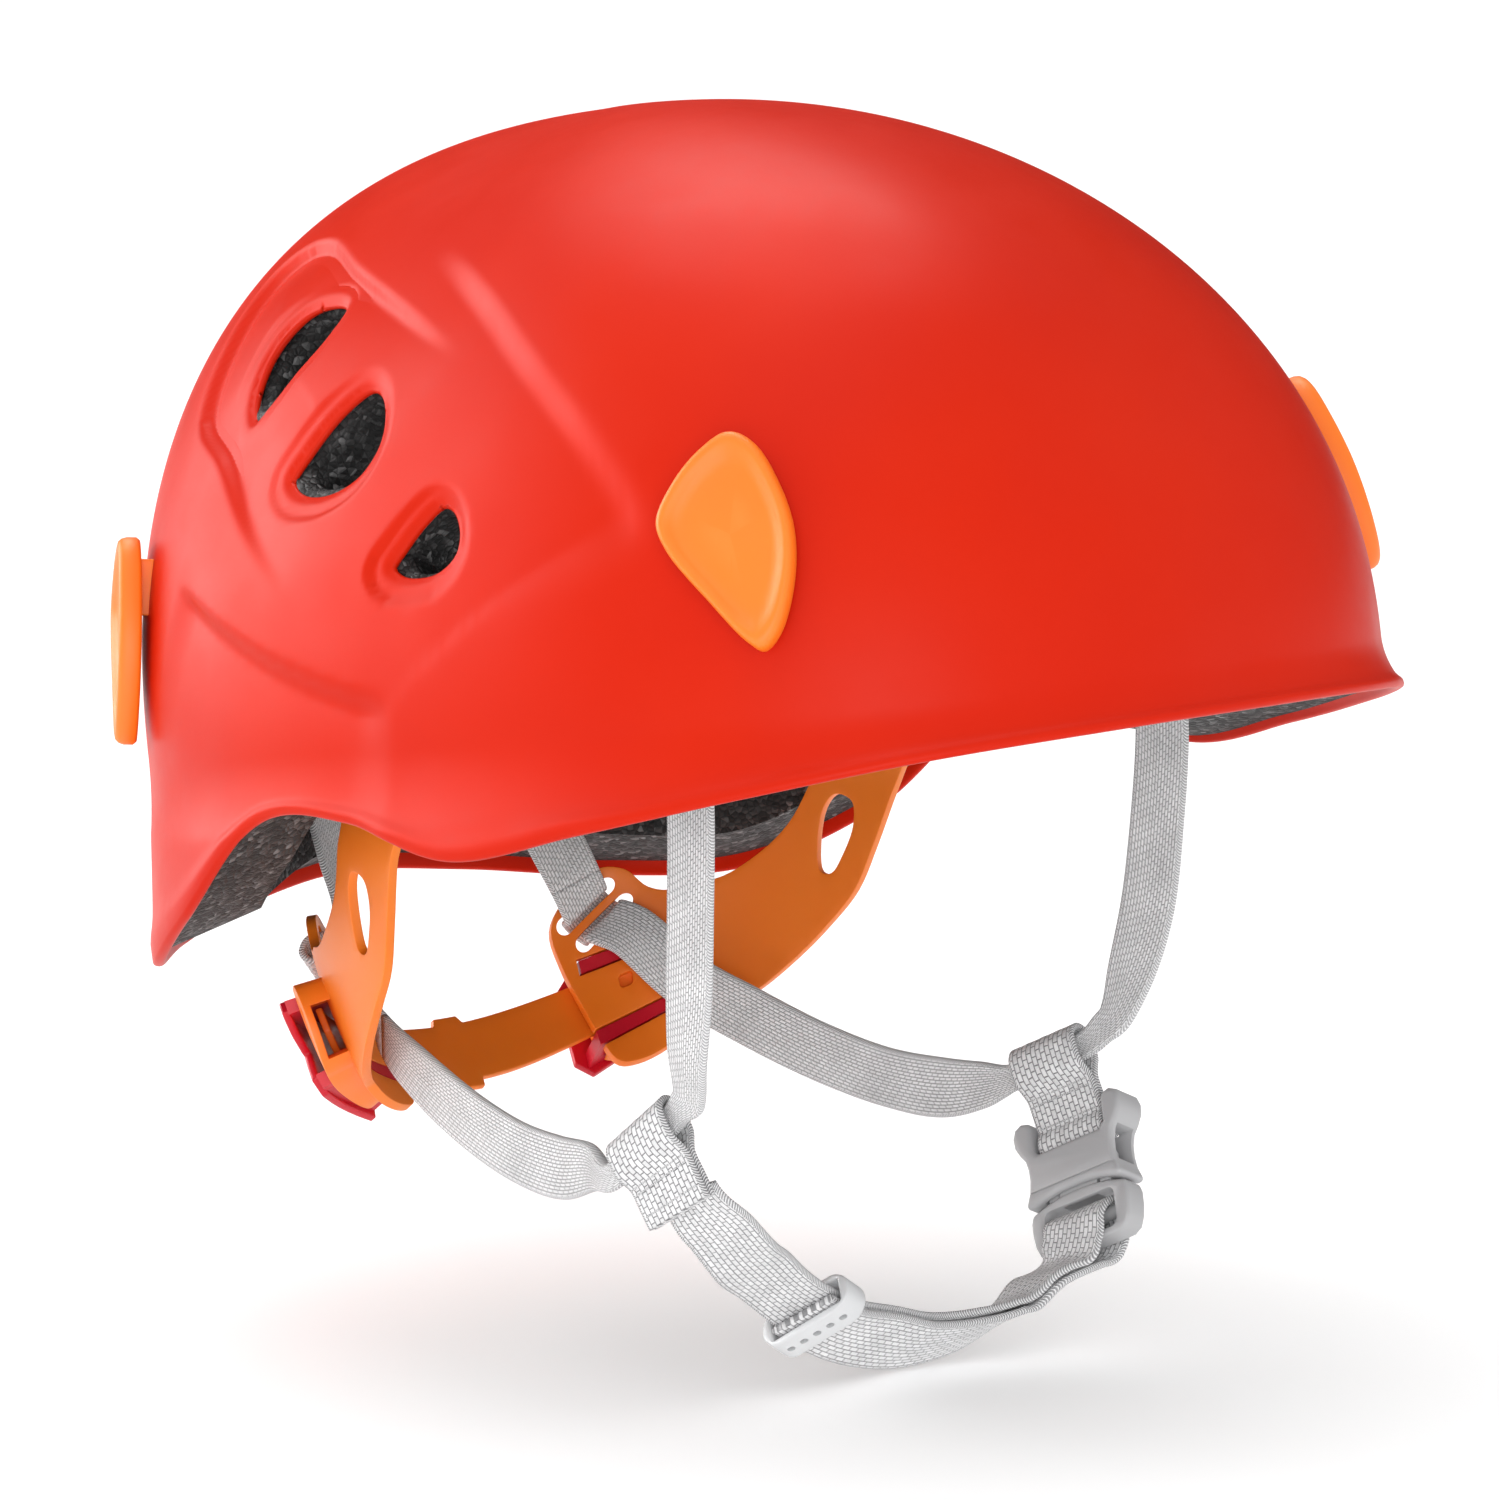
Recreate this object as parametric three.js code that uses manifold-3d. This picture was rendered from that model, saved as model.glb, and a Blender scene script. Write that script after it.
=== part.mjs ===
// Climbing helmet: moulded shell, foam liner, headlamp clips, webbing harness and nape cradle.
// Millimetres, +X forward, +Y to the wearer's left, +Z up as worn. The origin is the middle of the
// head cavity, on the plane of symmetry. Left-hand pieces are modelled, right-hand ones mirrored.
import * as THREE from 'three';
import { mergeVertices } from 'three/addons/utils/BufferGeometryUtils.js';
import { TessellateModifier } from 'three/addons/modifiers/TessellateModifier.js';
import Module from 'manifold-3d';

const wasm = await Module();
wasm.setup();

// ---- Driving dimensions ------------------------------------------------------------------------
const PITCH = THREE.MathUtils.degToRad(8.4);  // the shell's own base plane tips up at the front
const HALF_FRONT = 131;
const HALF_REAR = 119;
const HALF_WIDTH = 102;
const DOME_HEIGHT = 117;
const PLAN_POWER_FRONT = 2.41;
const PLAN_POWER_REAR = 2.25;
const PROFILE_POWER = { front: 2.17, side: 1.9, rear: 2.37 };
const FLARE = { front: 0.64, side: 0.22, rear: -0.03 };
const FLARE_RUN = 15;
const CROWN_SHIFT = -12.5;
// Rim height below the base plane, every 15 degrees from the brow round to the nape.
const RIM_HEIGHTS = [-8, -8.3, -9.7, -13, -17, -20.2, -12.4, -11.6, -29.6, -39.5, -37.8, -32.8, -29.6];
const RIM_STEP = 15;

const SHELL_THICK = 2.2;
const LINER_GAP = 0.6;
const LINER_THICK = 17.5;
const LINER_RIM_RAISE = 2.5;
const LINER_BEVEL = 6;
const PAD_GAP = 1.4;
const PAD_THICK = 5.5;
const FIT_GAP = 0.35;
const ROUND = 24;  // sides of a round pin or pocket

const CLIP_THICK = 4.8;
const CLIP_STANDOFF = 1.8;
const CLIP_FRONT = { theta: 43.5, height: 30 };
const CLIP_REAR = { theta: 136, height: 23 };
const CLIP_STEM = { width: 11, height: 11 };

const STRAP_WIDTH = 12.5;
const STRAP_THICK = 1.4;
const CHIN_WIDTH = 15;
const ANCHOR = { width: 19, height: 15, thick: 5.6, proud: 4.8, slotDeep: 10, room: 1.2 };
const ANCHOR_FRONT = { theta: 51, height: 26 };
const ANCHOR_REAR = { theta: 164, height: 6 };

// Head form that the cradle is moulded to: a tapering rounded plan round x = HEAD_CENTRE.
const HEAD_CENTRE = 5;
const HEAD_POWER = 2.25;
const HEAD_HALF_LENGTH = 97;
const HEAD_HALF_WIDTH = 72.6;
const OCCIPUT_TOP = -40;
const OCCIPUT_CURVE = 0.0125;
const SIDE_TOP = -26;
const SIDE_TAPER = 0.163;
const GIRTH_PER_DEGREE = 1.45;
const BAND_CENTRE_HEIGHT = -78.4;
const BAND_RISE = 0.0095;
const BAND_RISE_END = 38;

const WING_HALF_THICK = 1;
const BAND_HALF_HEIGHT = 4.75;
const BAND_INNER = 2.4;
const BAND_OUTER = 3.8;
const BAND_END = 50;
const CHANNEL_OUTER = 5.2;
const CHANNEL_OVERRUN = 24;
const LEG_GAP = 0.4;
const WING_FACET = 11;  // longest edge left flat when a cradle piece is bent
const BAND_FACET = 8;
const HOUSING_OUTER = 6.7;
const HOUSING = { start: 33.5, end: 61, halfHeight: 9.6 };
const LOCK = { start: 31.5, end: 50, legInner: 5.5, legOuter: 7.9, capInner: 8.6, capOuter: 10.2 };
const SLOT = { length: 13.6, width: 3.6, angle: THREE.MathUtils.degToRad(31) };
const SLOT_CENTRES = [[34.5, 17.9], [37.7, 13.5]];
const PIVOT = { x: -19, z: -2, stud: 2.6, cap: 5.6, flange: 7.5, inner: 65.6, outer: 84.5 };
const PIVOT_SLOT = { length: 15, width: 6.2, angle: THREE.MathUtils.degToRad(38) };

// Yoke and buckle frame: s runs down the webbing, w across it, n towards the head.
const YOKE_TOP = new THREE.Vector3(31.4, 57.9, -71);
const YOKE_DOWN = new THREE.Vector3(0.45, -0.03, -0.89).normalize();
const YOKE_ACROSS = new THREE.Vector3(0.88, 0.165, 0.44).normalize();
// The right yoke is pulled askew by the chin strap, so its width doesn't lie square to its length.
const RIGHT_YOKE_ACROSS = new THREE.Vector3(0.741, -0.113, 0.65).normalize();
const YOKE = { width: 16.5, loop: 11.5, depth: 7.6, wall: 1.3, flat: 3, end: 21 };
const BUCKLE_SWING = THREE.MathUtils.degToRad(20);  // inward about its bar
const BUCKLE = { bar: 21.2, barRadius: 1.5, bodyStart: 26, bodyEnd: 34, halfBody: 10.4, thick: 8.4,
  halfEar: 12.8, earInner: 8.9, earStart: 16.5, earLap: 4, earThick: 6.4,
  cavityWidth: 16.4, cavityThick: 5.2, window: 3.6, windowAt: 29.2 };
const PLUG = { start: 34.4, end: 45.4, halfWidth: 12, thick: 4.4, bar: 40, barRadius: 1.4,
  side: 3.3, wall: 1.3, tongue: [4.6, 8, 3.4] };
const PRONG = { size: [3, 8.2, 4.2], side: 6.4, lap: 0.35 };

const COLOURS = {
  shell: 0xe43a14, orange: 0xf0801e, red: 0xd2102a, foam: 0x2b2c2e,
  pad: 0x3a3b3d, web: 0xbdbdbd, buckle: 0xa9abae, keeper: 0xe4e5e6, stud: 0x44464a,
};
const ROUGHNESS = { shell: 0.35, orange: 0.45, red: 0.4, foam: 0.95, pad: 0.95, web: 0.9,
  buckle: 0.5, keeper: 0.45, stud: 0.5 };

// ---- Small helpers -----------------------------------------------------------------------------
const group = new THREE.Group();
group.name = 'climbing_helmet';

function addPart(name, look, geometry) {
  const clean = geometry.index ? geometry : mergeVertices(geometry);
  clean.computeVertexNormals();
  const material = new THREE.MeshStandardMaterial({
    color: COLOURS[look], roughness: ROUGHNESS[look], metalness: 0 });
  const mesh = new THREE.Mesh(clean, material);
  mesh.name = name;
  group.add(mesh);
}

function weld(geometry, tolerance = 1e-4) {
  const bare = geometry.clone();
  bare.deleteAttribute('normal');
  bare.deleteAttribute('uv');
  return mergeVertices(bare, tolerance);
}

function toSolid(geometry) {
  const welded = weld(geometry);
  return new wasm.Manifold(new wasm.Mesh({
    numProp: 3,
    vertProperties: new Float32Array(welded.attributes.position.array),
    triVerts: new Uint32Array(welded.index.array) }));
}

function toGeometry(solid) {
  const mesh = solid.getMesh();
  const geometry = new THREE.BufferGeometry();
  geometry.setAttribute('position', new THREE.BufferAttribute(new Float32Array(mesh.vertProperties), 3));
  geometry.setIndex(new THREE.BufferAttribute(new Uint32Array(mesh.triVerts), 1));
  return geometry;
}

function cut(solid, tools) {
  return tools.reduce((body, tool) => body.subtract(toSolid(tool)), solid);
}

function join(solid, pieces) {
  return pieces.reduce((body, piece) => body.add(toSolid(piece)), solid);
}

function mirrored(geometry) {
  const copy = geometry.clone().scale(1, -1, 1);
  const index = copy.index.array;
  for (let i = 0; i < index.length; i += 3) {
    const first = index[i];
    index[i] = index[i + 1];
    index[i + 1] = first;
  }
  return copy;
}

function addPair(name, look, geometry) {
  const left = weld(geometry);
  addPart(`${name}_left`, look, left);
  addPart(`${name}_right`, look, mirrored(left));
}

function boxAt(sizeX, sizeY, sizeZ, x = 0, y = 0, z = 0) {
  return new THREE.BoxGeometry(sizeX, sizeY, sizeZ).translate(x, y, z);
}

function rodAlongX(radius, length, x, y, z) {
  return new THREE.CylinderGeometry(radius, radius, length, 16).rotateZ(Math.PI / 2).translate(x, y, z);
}

function outline(points, divisions) {
  const curve = new THREE.CatmullRomCurve3(points.map(([u, v]) => new THREE.Vector3(u, v, 0)), true);
  return new THREE.Shape(curve.getPoints(divisions).slice(0, -1).map((p) => new THREE.Vector2(p.x, p.y)));
}

function slab(shape, from, to) {
  return new THREE.ExtrudeGeometry(shape, { depth: to - from, bevelEnabled: false, curveSegments: 8 })
    .translate(0, 0, from);
}

function stadium(length, width, radius = width / 2) {
  const shape = new THREE.Shape();
  const run = length / 2 - radius;
  shape.moveTo(-run, -width / 2);
  shape.lineTo(run, -width / 2);
  shape.absarc(run, 0, radius, -Math.PI / 2, Math.PI / 2, false);
  shape.lineTo(-run, width / 2);
  shape.absarc(-run, 0, radius, Math.PI / 2, 1.5 * Math.PI, false);
  return shape;
}

// ---- The dome ----------------------------------------------------------------------------------
function mix(byDirection, cosine) {
  const end = cosine > 0 ? byDirection.front : byDirection.rear;
  return end * cosine * cosine + byDirection.side * (1 - cosine * cosine);
}

function rimHeight(thetaDegrees) {
  const at = Math.abs(thetaDegrees) / RIM_STEP;
  const last = RIM_HEIGHTS.length - 1;
  const i = Math.min(Math.floor(at), last - 1);
  const t = at - i;
  const pick = (k) => RIM_HEIGHTS[k < 0 ? -k : k > last ? 2 * last - k : k];
  const [a, b, c, d] = [pick(i - 1), pick(i), pick(i + 1), pick(i + 2)];
  return 0.5 * (2 * b + (c - a) * t + (2 * a - 5 * b + 4 * c - d) * t * t
    + (3 * b - a - 3 * c + d) * t * t * t);
}

function planRadius(theta, inset) {
  const cosine = Math.cos(theta);
  const power = cosine > 0 ? PLAN_POWER_FRONT : PLAN_POWER_REAR;
  const half = (cosine > 0 ? HALF_FRONT : HALF_REAR) - inset;
  const across = HALF_WIDTH - inset;
  return ((Math.abs(cosine) / half) ** power + (Math.abs(Math.sin(theta)) / across) ** power) ** (-1 / power);
}

// A point of the dome's surface moved in by inset, at a height over its own base plane.
function domePoint(theta, height, inset) {
  const top = DOME_HEIGHT - inset;
  const above = Math.max(height, 0) / top;
  const drop = Math.max(-height, 0);
  const cosine = Math.cos(theta);
  const power = mix(PROFILE_POWER, cosine);
  const flare = mix(FLARE, cosine) * drop * Math.min(drop / FLARE_RUN, 1);
  const radius = (planRadius(theta, inset) + flare) * Math.max(1 - above ** power, 0) ** (1 / power);
  const x = radius * cosine + CROWN_SHIFT * above * above;
  return new THREE.Vector3(
    x * Math.cos(PITCH) - height * Math.sin(PITCH),
    radius * Math.sin(theta),
    x * Math.sin(PITCH) + height * Math.cos(PITCH));
}

function domeColumn(thetaDegrees, inset, raise, lowRows, highRows) {
  const theta = THREE.MathUtils.degToRad(thetaDegrees);
  const rim = Math.min(rimHeight(thetaDegrees > 180 ? thetaDegrees - 360 : thetaDegrees) + raise, -0.5);
  const points = [];
  for (let j = 0; j < lowRows; j += 1) {
    points.push(domePoint(theta, rim * (1 - j / lowRows), inset));
  }
  for (let j = 0; j < highRows; j += 1) {
    const rise = Math.sin((j / highRows) * Math.PI / 2);
    points.push(domePoint(theta, rise * (DOME_HEIGHT - inset), inset));
  }
  return points;
}

// Closed double-walled dome: outer wall, crown, inner wall, and the rim that joins them.
function domeSolid(outerInset, innerInset, outerRaise, innerRaise, columns = 40, lowRows = 3, highRows = 8) {
  const rows = lowRows + highRows;
  const positions = [];
  const push = (p) => positions.push(p.x, p.y, p.z);
  for (let c = 0; c < columns; c += 1) {
    const angle = (c / columns) * 360;
    domeColumn(angle, outerInset, outerRaise, lowRows, highRows).forEach(push);
    domeColumn(angle, innerInset, innerRaise, lowRows, highRows).forEach(push);
  }
  push(domePoint(0, DOME_HEIGHT - outerInset, outerInset));
  push(domePoint(0, DOME_HEIGHT - innerInset, innerInset));
  const outerTop = columns * rows * 2;
  const at = (c, wall, j) => (c % columns) * rows * 2 + wall * rows + j;
  const index = [];
  const quad = (a, b, c, d) => index.push(a, b, c, a, c, d);
  for (let c = 0; c < columns; c += 1) {
    for (let j = 0; j < rows - 1; j += 1) {
      quad(at(c, 0, j), at(c + 1, 0, j), at(c + 1, 0, j + 1), at(c, 0, j + 1));
      quad(at(c, 1, j), at(c, 1, j + 1), at(c + 1, 1, j + 1), at(c + 1, 1, j));
    }
    index.push(at(c, 0, rows - 1), at(c + 1, 0, rows - 1), outerTop);
    index.push(at(c + 1, 1, rows - 1), at(c, 1, rows - 1), outerTop + 1);
    quad(at(c, 1, 0), at(c + 1, 1, 0), at(c + 1, 0, 0), at(c, 0, 0));
  }
  const geometry = new THREE.BufferGeometry();
  geometry.setAttribute('position', new THREE.Float32BufferAttribute(positions, 3));
  geometry.setIndex(index);
  return geometry;
}

// Frame on the dome: x along the surface towards growing theta, y up the surface, z outward.
function domeFrame(thetaDegrees, height, inset) {
  const theta = THREE.MathUtils.degToRad(thetaDegrees);
  const step = 0.5;
  const angle = 0.01;
  const origin = domePoint(theta, height, inset);
  const up = domePoint(theta, height + step, inset).sub(domePoint(theta, height - step, inset)).normalize();
  const side = domePoint(theta + angle, height, inset).sub(domePoint(theta - angle, height, inset));
  side.normalize();
  const out = new THREE.Vector3().crossVectors(side, up).normalize();
  side.crossVectors(up, out);
  return new THREE.Matrix4().makeBasis(side, up, out).setPosition(origin);
}

// ---- Vents -------------------------------------------------------------------------------------
// Three a side, drawn in side view (forward, up): a tall crescent, a long drop and a short drop.
const VENTS = [
  [[-37.8, 79.6], [-38.4, 74], [-42.2, 67.5], [-47, 60.5], [-50.8, 56.9], [-54.8, 61], [-56.2, 69],
    [-53.4, 75.2], [-48, 79]],
  [[-17, 66], [-12.2, 65], [-8.2, 60.4], [-7.2, 55.6], [-9.4, 50.6], [-14.6, 46.8], [-21, 44.9],
    [-27.6, 45.2], [-31, 47.8], [-28.4, 53.4], [-23, 61.4]],
  [[15, 47], [18.8, 46.2], [22, 42.2], [22.2, 38], [18.6, 34.2], [13.4, 32.6], [8.2, 32.6], [5, 34.4],
    [7.2, 38.4], [11, 43.6]],
];
const VENT_IN_FOAM = 0.8;

function ventTool(points, scale) {
  const share = 1 / points.length;
  const mid = points.reduce((sum, [x, z]) => [sum[0] + x * share, sum[1] + z * share], [0, 0]);
  const scaled = points.map(([x, z]) => [mid[0] + (x - mid[0]) * scale, mid[1] + (z - mid[1]) * scale]);
  const shape = outline(scaled, scale < 1 ? 12 : 20);
  const reach = HALF_WIDTH + 30;
  return slab(shape, -reach, reach).rotateX(Math.PI / 2);
}

// ---- Headlamp clips ----------------------------------------------------------------------------
// Seen from outside on the wearer's left: (rearward, up) from the middle of the plate.
const CLIP_OUTLINE = [[-3, 20.2], [2.6, 18], [8.4, 13], [12.4, 6.6], [11.4, 1.2], [5, -9.8], [-0.6, -18.2],
  [-3.2, -20.2], [-6.4, -17.8], [-10.3, -9.2], [-11.8, 0.6], [-10.3, 9.8], [-7, 17.6]];
const STEM_ABOVE = 10.5;
const STEM_SIDE = -0.8;

function clipStem(grow, from, to) {
  return boxAt(CLIP_STEM.width + 2 * grow, CLIP_STEM.height + 2 * grow, to - from,
    STEM_SIDE, STEM_ABOVE, (from + to) / 2);
}

function lampClip() {
  const plate = toSolid(slab(outline(CLIP_OUTLINE, 34), CLIP_STANDOFF, CLIP_STANDOFF + CLIP_THICK));
  return toGeometry(join(plate, [clipStem(0, -SHELL_THICK + 0.2, CLIP_STANDOFF + 0.5)]));
}

function clipFrame({ theta, height }) {
  return domeFrame(theta, height, 0);
}

// ---- Pockets in the liner ----------------------------------------------------------------------
const LINER_OUTER_INSET = SHELL_THICK + LINER_GAP;
const LINER_INNER_INSET = LINER_OUTER_INSET + LINER_THICK;

function anchorFrame({ theta, height }) {
  return domeFrame(theta, height, LINER_INNER_INSET);
}

function anchorPocket(place) {
  const deep = ANCHOR.thick - ANCHOR.proud + FIT_GAP;
  const reach = 20;
  const width = ANCHOR.width + 2 * FIT_GAP;
  return boxAt(width, ANCHOR.height + 2 * FIT_GAP, deep + reach, 0, 0, (deep - reach) / 2)
    .applyMatrix4(anchorFrame(place));
}

function pivotPocket() {
  const length = PIVOT.outer + FIT_GAP;
  const radius = PIVOT.flange + FIT_GAP;
  return new THREE.CylinderGeometry(radius, radius, length, ROUND)
    .translate(PIVOT.x, length / 2, PIVOT.z);
}

// ---- Shell and liner ---------------------------------------------------------------------------
function buildShell() {
  const holes = VENTS.map((points) => ventTool(points, 1));
  for (const place of [CLIP_FRONT, CLIP_REAR]) {
    const hole = weld(clipStem(FIT_GAP, -2 * SHELL_THICK, SHELL_THICK).applyMatrix4(clipFrame(place)));
    holes.push(hole, mirrored(hole));
  }
  addPart('outer_shell', 'shell', toGeometry(cut(toSolid(domeSolid(0, SHELL_THICK, 0, 0)), holes)));
}

function buildLiner() {
  const raise = LINER_RIM_RAISE;
  const body = domeSolid(LINER_OUTER_INSET, LINER_INNER_INSET, raise, raise + LINER_BEVEL);
  const tools = VENTS.map((points) => ventTool(points, VENT_IN_FOAM));
  for (const tool of [anchorPocket(ANCHOR_FRONT), anchorPocket(ANCHOR_REAR), pivotPocket()]) {
    tools.push(tool, mirrored(weld(tool)));
  }
  addPart('foam_liner', 'foam', toGeometry(cut(toSolid(body), tools)));
}

// A pad is a patch of the dome between two insets, from a grid of (theta, height) places.
function domePatch(place, columns, rows, outerInset, thick) {
  const positions = [];
  const index = [];
  for (const inset of [outerInset, outerInset + thick]) {
    for (let j = 0; j <= rows; j += 1) {
      for (let i = 0; i <= columns; i += 1) {
        const [theta, height] = place(i / columns, j / rows, inset);
        const p = domePoint(THREE.MathUtils.degToRad(theta), height, inset);
        positions.push(p.x, p.y, p.z);
      }
    }
  }
  const layer = (columns + 1) * (rows + 1);
  const at = (i, j, k) => k * layer + j * (columns + 1) + i;
  const quad = (a, b, c, d) => index.push(a, b, c, a, c, d);
  for (let j = 0; j < rows; j += 1) {
    for (let i = 0; i < columns; i += 1) {
      quad(at(i, j, 0), at(i + 1, j, 0), at(i + 1, j + 1, 0), at(i, j + 1, 0));
      quad(at(i, j, 1), at(i, j + 1, 1), at(i + 1, j + 1, 1), at(i + 1, j, 1));
    }
  }
  for (let i = 0; i < columns; i += 1) {
    quad(at(i, 0, 1), at(i + 1, 0, 1), at(i + 1, 0, 0), at(i, 0, 0));
    quad(at(i, rows, 0), at(i + 1, rows, 0), at(i + 1, rows, 1), at(i, rows, 1));
  }
  for (let j = 0; j < rows; j += 1) {
    quad(at(0, j, 0), at(0, j + 1, 0), at(0, j + 1, 1), at(0, j, 1));
    quad(at(columns, j, 1), at(columns, j + 1, 1), at(columns, j + 1, 0), at(columns, j, 0));
  }
  const geometry = new THREE.BufferGeometry();
  geometry.setAttribute('position', new THREE.Float32BufferAttribute(positions, 3));
  geometry.setIndex(index);
  return geometry;
}

const BROW = { reach: 42, low: 0, high: 30, endLow: 8, endHigh: 24 };
const CROWN = { halfLength: 44, halfWidth: 33, plateau: 1.6, edge: 2.2 };

function buildPads() {
  const inset = LINER_INNER_INSET + PAD_GAP;
  addPart('brow_pad', 'pad', domePatch((a, b) => {
    const side = 2 * a - 1;
    const low = BROW.low + (BROW.endLow - BROW.low) * side ** 4;
    const high = BROW.high + (BROW.endHigh - BROW.high) * side ** 4;
    return [BROW.reach * side, low + (high - low) * b];
  }, 14, 3, inset, PAD_THICK));
  const cap = new THREE.SphereGeometry(1, 20, 12);
  const position = cap.attributes.position;
  const point = new THREE.Vector3();
  for (let i = 0; i < position.count; i += 1) {
    point.fromBufferAttribute(position, i);
    const reach = Math.hypot(point.x, point.y);
    const spread = reach > 0 ? Math.min(1, reach * CROWN.plateau) / reach : 0;
    const x = point.x * spread * CROWN.halfLength;
    const y = point.y * spread * CROWN.halfWidth;
    const level = Math.sign(point.z) * Math.min(1, Math.abs(point.z) * CROWN.edge);
    const depth = inset + PAD_THICK * (1 - level) / 2;
    const theta = Math.atan2(y, x);
    const across = Math.hypot(x, y) / planRadius(theta, depth);
    const power = mix(PROFILE_POWER, Math.cos(theta));
    const height = (DOME_HEIGHT - depth) * (1 - across ** power) ** (1 / power);
    const on = domePoint(theta, Math.min(height, DOME_HEIGHT - depth), depth);
    position.setXYZ(i, on.x, on.y, on.z);
  }
  addPart('crown_pad', 'pad', weld(cap, 1e-3));
}

// ---- Strap anchors and arm pivots --------------------------------------------------------------
function strapAnchor(place) {
  const body = toSolid(boxAt(ANCHOR.width, ANCHOR.height, ANCHOR.thick));
  const room = ANCHOR.room;
  const slot = boxAt(STRAP_WIDTH + room, ANCHOR.slotDeep * 2, STRAP_THICK + room, 0, -ANCHOR.height / 2, 0);
  const sunk = ANCHOR.thick / 2 - ANCHOR.proud;
  return toGeometry(cut(body, [slot])).translate(0, 0, sunk).applyMatrix4(anchorFrame(place));
}

function armPivot() {
  const profile = [[0, PIVOT.inner], [PIVOT.cap, PIVOT.inner], [PIVOT.cap, PIVOT.inner + 1.6],
    [PIVOT.stud, PIVOT.inner + 1.8], [PIVOT.stud, PIVOT.outer - 6], [PIVOT.flange, PIVOT.outer - 4],
    [PIVOT.flange, PIVOT.outer], [0, PIVOT.outer]];
  return new THREE.LatheGeometry(profile.map(([r, y]) => new THREE.Vector2(r, y)), ROUND)
    .translate(PIVOT.x, 0, PIVOT.z);
}

// ---- The cradle --------------------------------------------------------------------------------
function bandHeight(degrees) {
  return BAND_CENTRE_HEIGHT + BAND_RISE * Math.min(Math.abs(degrees), BAND_RISE_END) ** 2;
}

function headPlan(z) {
  return {
    long: HEAD_HALF_LENGTH - OCCIPUT_CURVE * Math.min(z - OCCIPUT_TOP, 0) ** 2,
    wide: HEAD_HALF_WIDTH + SIDE_TAPER * Math.min(z - SIDE_TOP, 0),
  };
}

function headField(p) {
  const plan = headPlan(p.z);
  return ((Math.abs(p.x - HEAD_CENTRE) / plan.long) ** HEAD_POWER
    + (Math.abs(p.y) / plan.wide) ** HEAD_POWER) ** (1 / HEAD_POWER);
}

// Cradle coordinates: girth u in mm round from the nape, height v over the band's middle line,
// depth d outward from the head form.
function onHead(u, v, d) {
  const degrees = u / GIRTH_PER_DEGREE;
  const angle = THREE.MathUtils.degToRad(degrees);
  const z = v + bandHeight(degrees);
  const plan = headPlan(z);
  const radius = ((Math.abs(Math.cos(angle)) / plan.long) ** HEAD_POWER
    + (Math.abs(Math.sin(angle)) / plan.wide) ** HEAD_POWER) ** (-1 / HEAD_POWER);
  const p = new THREE.Vector3(HEAD_CENTRE - radius * Math.cos(angle), radius * Math.sin(angle), z);
  const h = 0.05;
  const slope = new THREE.Vector3(
    headField(p.clone().setX(p.x + h)) - headField(p.clone().setX(p.x - h)),
    headField(p.clone().setY(p.y + h)) - headField(p.clone().setY(p.y - h)),
    headField(p.clone().setZ(p.z + h)) - headField(p.clone().setZ(p.z - h))).normalize();
  return p.addScaledVector(slope, d);
}

// Flat solid in (u, v, d) bent on to the head form, its long edges divided first.
function bent(geometry, longest) {
  const loose = geometry.index ? geometry.toNonIndexed() : geometry.clone();
  loose.deleteAttribute('normal');
  loose.deleteAttribute('uv');
  const fine = weld(new TessellateModifier(longest, 12).modify(loose));
  const position = fine.attributes.position;
  for (let i = 0; i < position.count; i += 1) {
    const p = onHead(position.getX(i), position.getY(i), position.getZ(i));
    position.setXYZ(i, p.x, p.y, p.z);
  }
  return flipIfInside(fine);
}

// (u, v, d) is left-handed on the wearer's left, so the triangles turn over.
function flipIfInside(geometry) {
  const index = geometry.index.array;
  for (let i = 0; i < index.length; i += 3) {
    const first = index[i];
    index[i] = index[i + 1];
    index[i + 1] = first;
  }
  return geometry;
}

// The wing in cradle coordinates: tab for the strap, arm up to the stud, and lobe under the band.
const WING_OUTLINE = [[29.6, 1], [31.6, -5.5], [34.4, -11.6], [40, -13.8], [50.2, -14.2], [60, -11.4],
  [69.2, -6.4], [78.4, 0.8], [85.8, 7.8], [92.5, 15.5], [96.8, 25], [101.5, 37.2], [107.5, 50],
  [111.4, 60], [109.6, 69], [102, 74], [94, 69.6], [90, 59], [84.4, 46.4], [80.5, 36.7], [75.7, 27.9],
  [67.9, 20.3],
  [60, 15.6], [51.6, 14.9], [46.8, 17.4], [42.4, 22.8], [37.4, 24.6], [31, 20.6], [27.2, 15.4], [27.8, 8]];
const ARM_HOLE = [[83.8, 31.6], [86.4, 34.6], [90.6, 33.4], [91.2, 28.6], [89, 22.6], [86.2, 18.4],
  [83.4, 18.6], [82.6, 24]];
const LOCK_DIMPLE = 3.2;
const LOCK_RECESS = { start: 52.5, end: 57, halfHeight: 4.6, floor: 6 };

function slotTool([u, v], size, from, to) {
  return slab(stadium(size.length, size.width), from, to).rotateZ(size.angle).translate(u, v, 0);
}

function lockLegs(grow, from, to) {
  const width = LOCK.legOuter - LOCK.legInner + 2 * grow;
  const middle = (LOCK.legOuter + LOCK.legInner) / 2;
  return [-middle, middle].map((v) => boxAt(LOCK.end - LOCK.start + 2 * grow, width, to - from,
    (LOCK.start + LOCK.end) / 2, v, (from + to) / 2));
}

function housingShape() {
  const { start, end, halfHeight } = HOUSING;
  return outline([[start, -halfHeight * 0.75], [start, halfHeight * 0.75], [start + 4, halfHeight],
    [end - 16, halfHeight], [end - 4, halfHeight * 0.8], [end, 0], [end - 4, -halfHeight * 0.8],
    [end - 16, -halfHeight], [start + 4, -halfHeight]], 20);
}

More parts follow.
